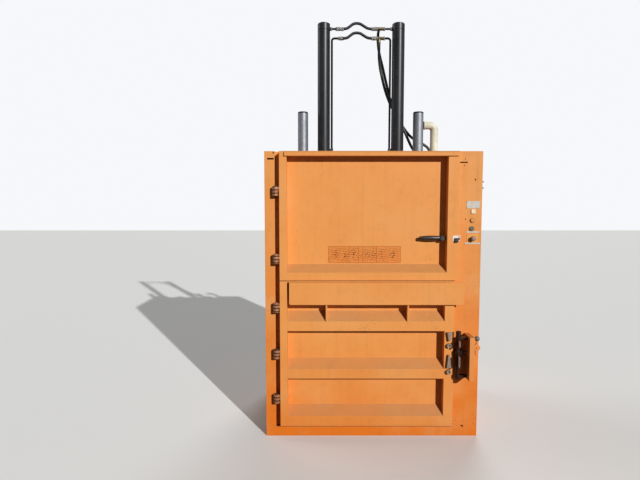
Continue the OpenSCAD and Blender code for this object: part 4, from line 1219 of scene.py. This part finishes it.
@dataclass
class LoadingDoor(SubAssembly):
    """The upper door with its grip, the faded strip and the tape behind the switch.

    Plain lines split the strip into fields, and plain shapes fill them. The shapes scatter without
    a row. Near each bunch, a share of the strip's length, they only grow larger.
    """

    dressing: Dressing = (
        (DOOR_PAINT, ("upper_door_frame", "upper_door_skin")),
        (WORN_STEEL, ("upper_door_barrels", "handle_tongue")),
        (HANDLE_BLACK, ("door_handle", "switch_actuator")))
    skin_y_mm: float = -500.0
    strip_x_mm: tuple[float, float] = (-354.0, 226.0)
    strip_z_mm: tuple[float, float] = (1420.0, 1554.0)
    strip_thick_mm: float = 0.5
    strip_bevel_mm: float = 0.2
    ink_mm: float = 0.12
    line_mm: float = 2.0
    margin_mm: tuple[float, float] = (9.0, 12.0)
    splits: tuple[float, ...] = (0.0, 0.285, 0.415, 0.476, 0.667, 1.0)
    count: int = 320
    scatter: tuple[float, float] = (0.618, 0.7549)
    bunches: tuple[float, ...] = (0.10, 0.23, 0.345, 0.56, 0.62, 0.75, 0.91)
    bunch_size: tuple[float, float] = (0.034, 0.3)
    small_mm: float = 3.0
    growth_mm: float = 4.6
    growth_step: float = 1.7
    turn_step: float = 0.5
    polygons: tuple[int, ...] = (3, 4, 8)
    tape_x_mm: tuple[float, float] = (622.0, 662.0)
    tape_z_mm: tuple[float, float] = (1602.0, 1644.0)
    flange_y_mm: float = -575.0
    tape_thick_mm: float = 1.2
    tape_bevel_mm: float = 0.6

    def add_pieces(self, shop: Workshop) -> None:
        """Makes the strip, the ink on it and the tape.

        Args:
            shop: The materials and the repeating trees.
        """
        face = self.skin_y_mm - self.strip_thick_mm
        (x0, x1), (z0, z1) = self.strip_x_mm, self.strip_z_mm
        strip = add_plate("loading_door_strip", (x0, face, z0), (x1, self.skin_y_mm, z1),
                          self.strip_bevel_mm)
        shop.finishes.dress(strip, STICKER)
        place(strip, Body.LOADING_DOOR)
        build = bmesh.new()
        for corners in [*self.lines(), *self.shapes()]:
            build.faces.new([build.verts.new((x * MM, (face - self.ink_mm) * MM, z * MM))
                             for x, z in corners])
        ink = add_build("loading_door_fields", build)
        shop.finishes.dress(ink, STICKER_INK)
        place(ink, Body.LOADING_DOOR)
        (x0, x1), (z0, z1) = self.tape_x_mm, self.tape_z_mm
        tape = add_plate("switch_backing", (x0, self.flange_y_mm - self.tape_thick_mm, z0),
                         (x1, self.flange_y_mm, z1), self.tape_bevel_mm)
        shop.finishes.dress(tape, WHITE_TAPE)
        place(tape, Body.LOADING_DOOR)

    def lines(self) -> list[list[tuple[float, float]]]:
        """Lists the corners of the lines around and between the fields.

        Returns:
            Each line's corners across and up, in millimetres.
        """
        (x0, x1), (z0, z1), w = self.strip_x_mm, self.strip_z_mm, self.line_mm
        rows = [(x0, z0, x1, z0 + w), (x0, z1 - w, x1, z1)]
        rows += [(x, z0, x + w, z1) for x in (x0 + share * (x1 - x0 - w) for share in self.splits)]
        return [[(a, b), (c, b), (c, d), (a, d)] for a, b, c, d in rows]

    def shapes(self) -> list[list[tuple[float, float]]]:
        """Lists the corners of the plain shapes in the fields.

        Returns:
            Each shape's corners across and up, in millimetres.
        """
        (x0, x1), (z0, z1), (side, edge) = self.strip_x_mm, self.strip_z_mm, self.margin_mm
        found = []
        for k in range(self.count):
            across, up = (k * step % 1 for step in self.scatter)
            near = max(math.exp(-((across - b) / self.bunch_size[0]) ** 2) for b in self.bunches)
            near *= math.exp(-((up - 0.5) / self.bunch_size[1]) ** 2)
            size = self.small_mm + self.growth_mm * near * abs(math.sin(self.growth_step * k))
            x, z = x0 + side + across * (x1 - x0 - 2 * side), z0 + edge + up * (z1 - z0 - 2 * edge)
            sides = self.polygons[k % len(self.polygons)]
            turns = (self.turn_step * k + 2 * math.pi * n / sides for n in range(sides))
            found.append([(x + size * math.cos(t), z + size * math.sin(t)) for t in turns])
        return found


@dataclass
class Cabinet(SubAssembly):
    """The machine's walls, back and roof, and what is fixed to them."""

    dressing: Dressing = (
        (PAINT, ("left_side", "cabinet_front", "cabinet_side", "cabinet_back", "back_plate",
                 "back_ribs", "lintel", "crosshead", "roof_plates", "cabinet_roof",
                 "service_cover")),
        (INSIDE, ("chamber_right_wall",)), (WORN_STEEL, ("hinge_seats",)),
        (SATIN_BLACK, ("side_cleat",)), (ZINC, ("hose_bulkhead",)),
        (CREAM_PVC, ("conduit_elbow",)))
    cover_x_mm: float = 863.0
    cover_y_mm: tuple[float, ...] = (-326.0, -30.0, 266.0)
    cover_z_mm: tuple[float, ...] = (1134.0, 1550.0, 1966.0)
    head_mm: float = 7.0

    def add_pieces(self, shop: Workshop) -> None:
        """Screws the service cover to the side.

        Args:
            shop: The materials and the repeating trees.
        """
        spots = [(self.cover_x_mm, y, z) for y in self.cover_y_mm for z in self.cover_z_mm]
        screws = shop.add_screws("cover_screws", spots, ZINC, self.head_mm, Facing.SIDE)
        place(screws, Body.MACHINE)


@dataclass
class ControlPanel(SubAssembly):
    """The plates, lamp, buttons and stop knob on the front."""

    dressing: Dressing = (
        (PALE_PLATE, ("panel_plates",)), (LAMP, ("panel_lamp",)), (BEZEL, ("button_bezels",)),
        (AMBER_BUTTON, ("start_button",)), (OLIVE_BUTTON, ("second_button",)),
        (YELLOW, ("estop_plate",)), (FADED_RED, ("estop_knob",)))
    screw_x_mm: tuple[float, ...] = (743.0, 839.0)
    screw_y_mm: float = -532.6
    screw_z_mm: tuple[float, ...] = (1862.0, 1910.0)
    head_mm: float = 2.6

    def add_pieces(self, shop: Workshop) -> None:
        """Screws the upper plate down at its corners.

        Args:
            shop: The materials and the repeating trees.
        """
        spots = [(x, self.screw_y_mm, z) for x in self.screw_x_mm for z in self.screw_z_mm]
        screws = shop.add_screws("label_screws", spots, ZINC, self.head_mm)
        place(screws, Body.MACHINE)


@dataclass
class Base(SubAssembly):
    """The frame that the machine stands on, with the bars of the chamber's floor."""

    dressing: Dressing = ((PAINT, ("base_frame",)), (INSIDE, ("floor_bars",)))
    screw_x_mm: tuple[float, ...] = (672.0, 840.0)
    screw_y_mm: float = -531.0
    screw_z_mm: float = 104.0
    head_mm: float = 6.0

    def add_pieces(self, shop: Workshop) -> None:
        """Screws the foot of the front to the frame.

        Args:
            shop: The materials and the repeating trees.
        """
        spots = [(x, self.screw_y_mm, self.screw_z_mm) for x in self.screw_x_mm]
        screws = shop.add_screws("foot_screws", spots, PAINT, self.head_mm)
        place(screws, Body.MACHINE)


@dataclass
class BaleDoor(SubAssembly):
    """The lower door with its header, its gussets and the strikers that the claws pull on."""

    dressing: Dressing = (
        (DOOR_PAINT, ("lower_door_frame", "lower_door_skin", "header_beam", "header_gussets")),
        (WORN_STEEL, ("lower_door_barrels",)), (STRUCK_STEEL, ("door_strikers",)))
    gusset_x_mm: tuple[float, ...] = (-369.75, 276.25)
    gusset_side_mm: float = 6.0
    gusset_y_mm: tuple[float, float] = (-592.0, -502.0)
    gusset_z_mm: float = 1099.0

    def add_pieces(self, shop: Workshop) -> None:
        """Welds both sides of each gusset to the door.

        Args:
            shop: The materials and the repeating trees.
        """
        (y0, y1), z = self.gusset_y_mm, self.gusset_z_mm
        sides = [x + s * self.gusset_side_mm for x in self.gusset_x_mm for s in (-1, 1)]
        welds = shop.add_welds("gusset_welds", [((x, y0, z), (x, y1, z)) for x in sides])
        place(welds, Body.BALE_DOOR)


@dataclass
class Latch(SubAssembly):
    """The lock that holds the lower door: its housing, shaft, claws, bolt and release lever."""

    dressing: Dressing = (
        (PAINT, ("lock_housing", "release_lever")), (WORN_STEEL, ("lock_bolt",)),
        (CLAW_STEEL, ("latch_claws",)), (DARK_STEEL, ("latch_shaft", "latch_bearings")),
        (KNOB_GREY, ("release_knob",)))
    weld_x_mm: tuple[float, ...] = (742.0, 780.0)
    weld_y_mm: float = -530.0
    weld_z_mm: tuple[float, float] = (512.0, 855.0)

    def add_pieces(self, shop: Workshop) -> None:
        """Lays the two upright welds that hold the housing to the front.

        Args:
            shop: The materials and the repeating trees.
        """
        y, (z0, z1) = self.weld_y_mm, self.weld_z_mm
        welds = shop.add_welds("lock_welds", [((x, y, z0), (x, y, z1)) for x in self.weld_x_mm])
        place(welds, Body.MACHINE)


def main() -> None:
    """Builds the studio and each sub-assembly."""
    logging.basicConfig(level=logging.INFO, format="%(name)s: %(message)s")
    Studio().build()
    shop = Workshop()
    for part in (HydraulicLines(), Press(), LoadingDoor(), Cabinet(), ControlPanel(), Base(),
                 BaleDoor(), Latch()):
        part.build(shop)
    LOG.info("dressed")


if __name__ == "__main__":
    main()
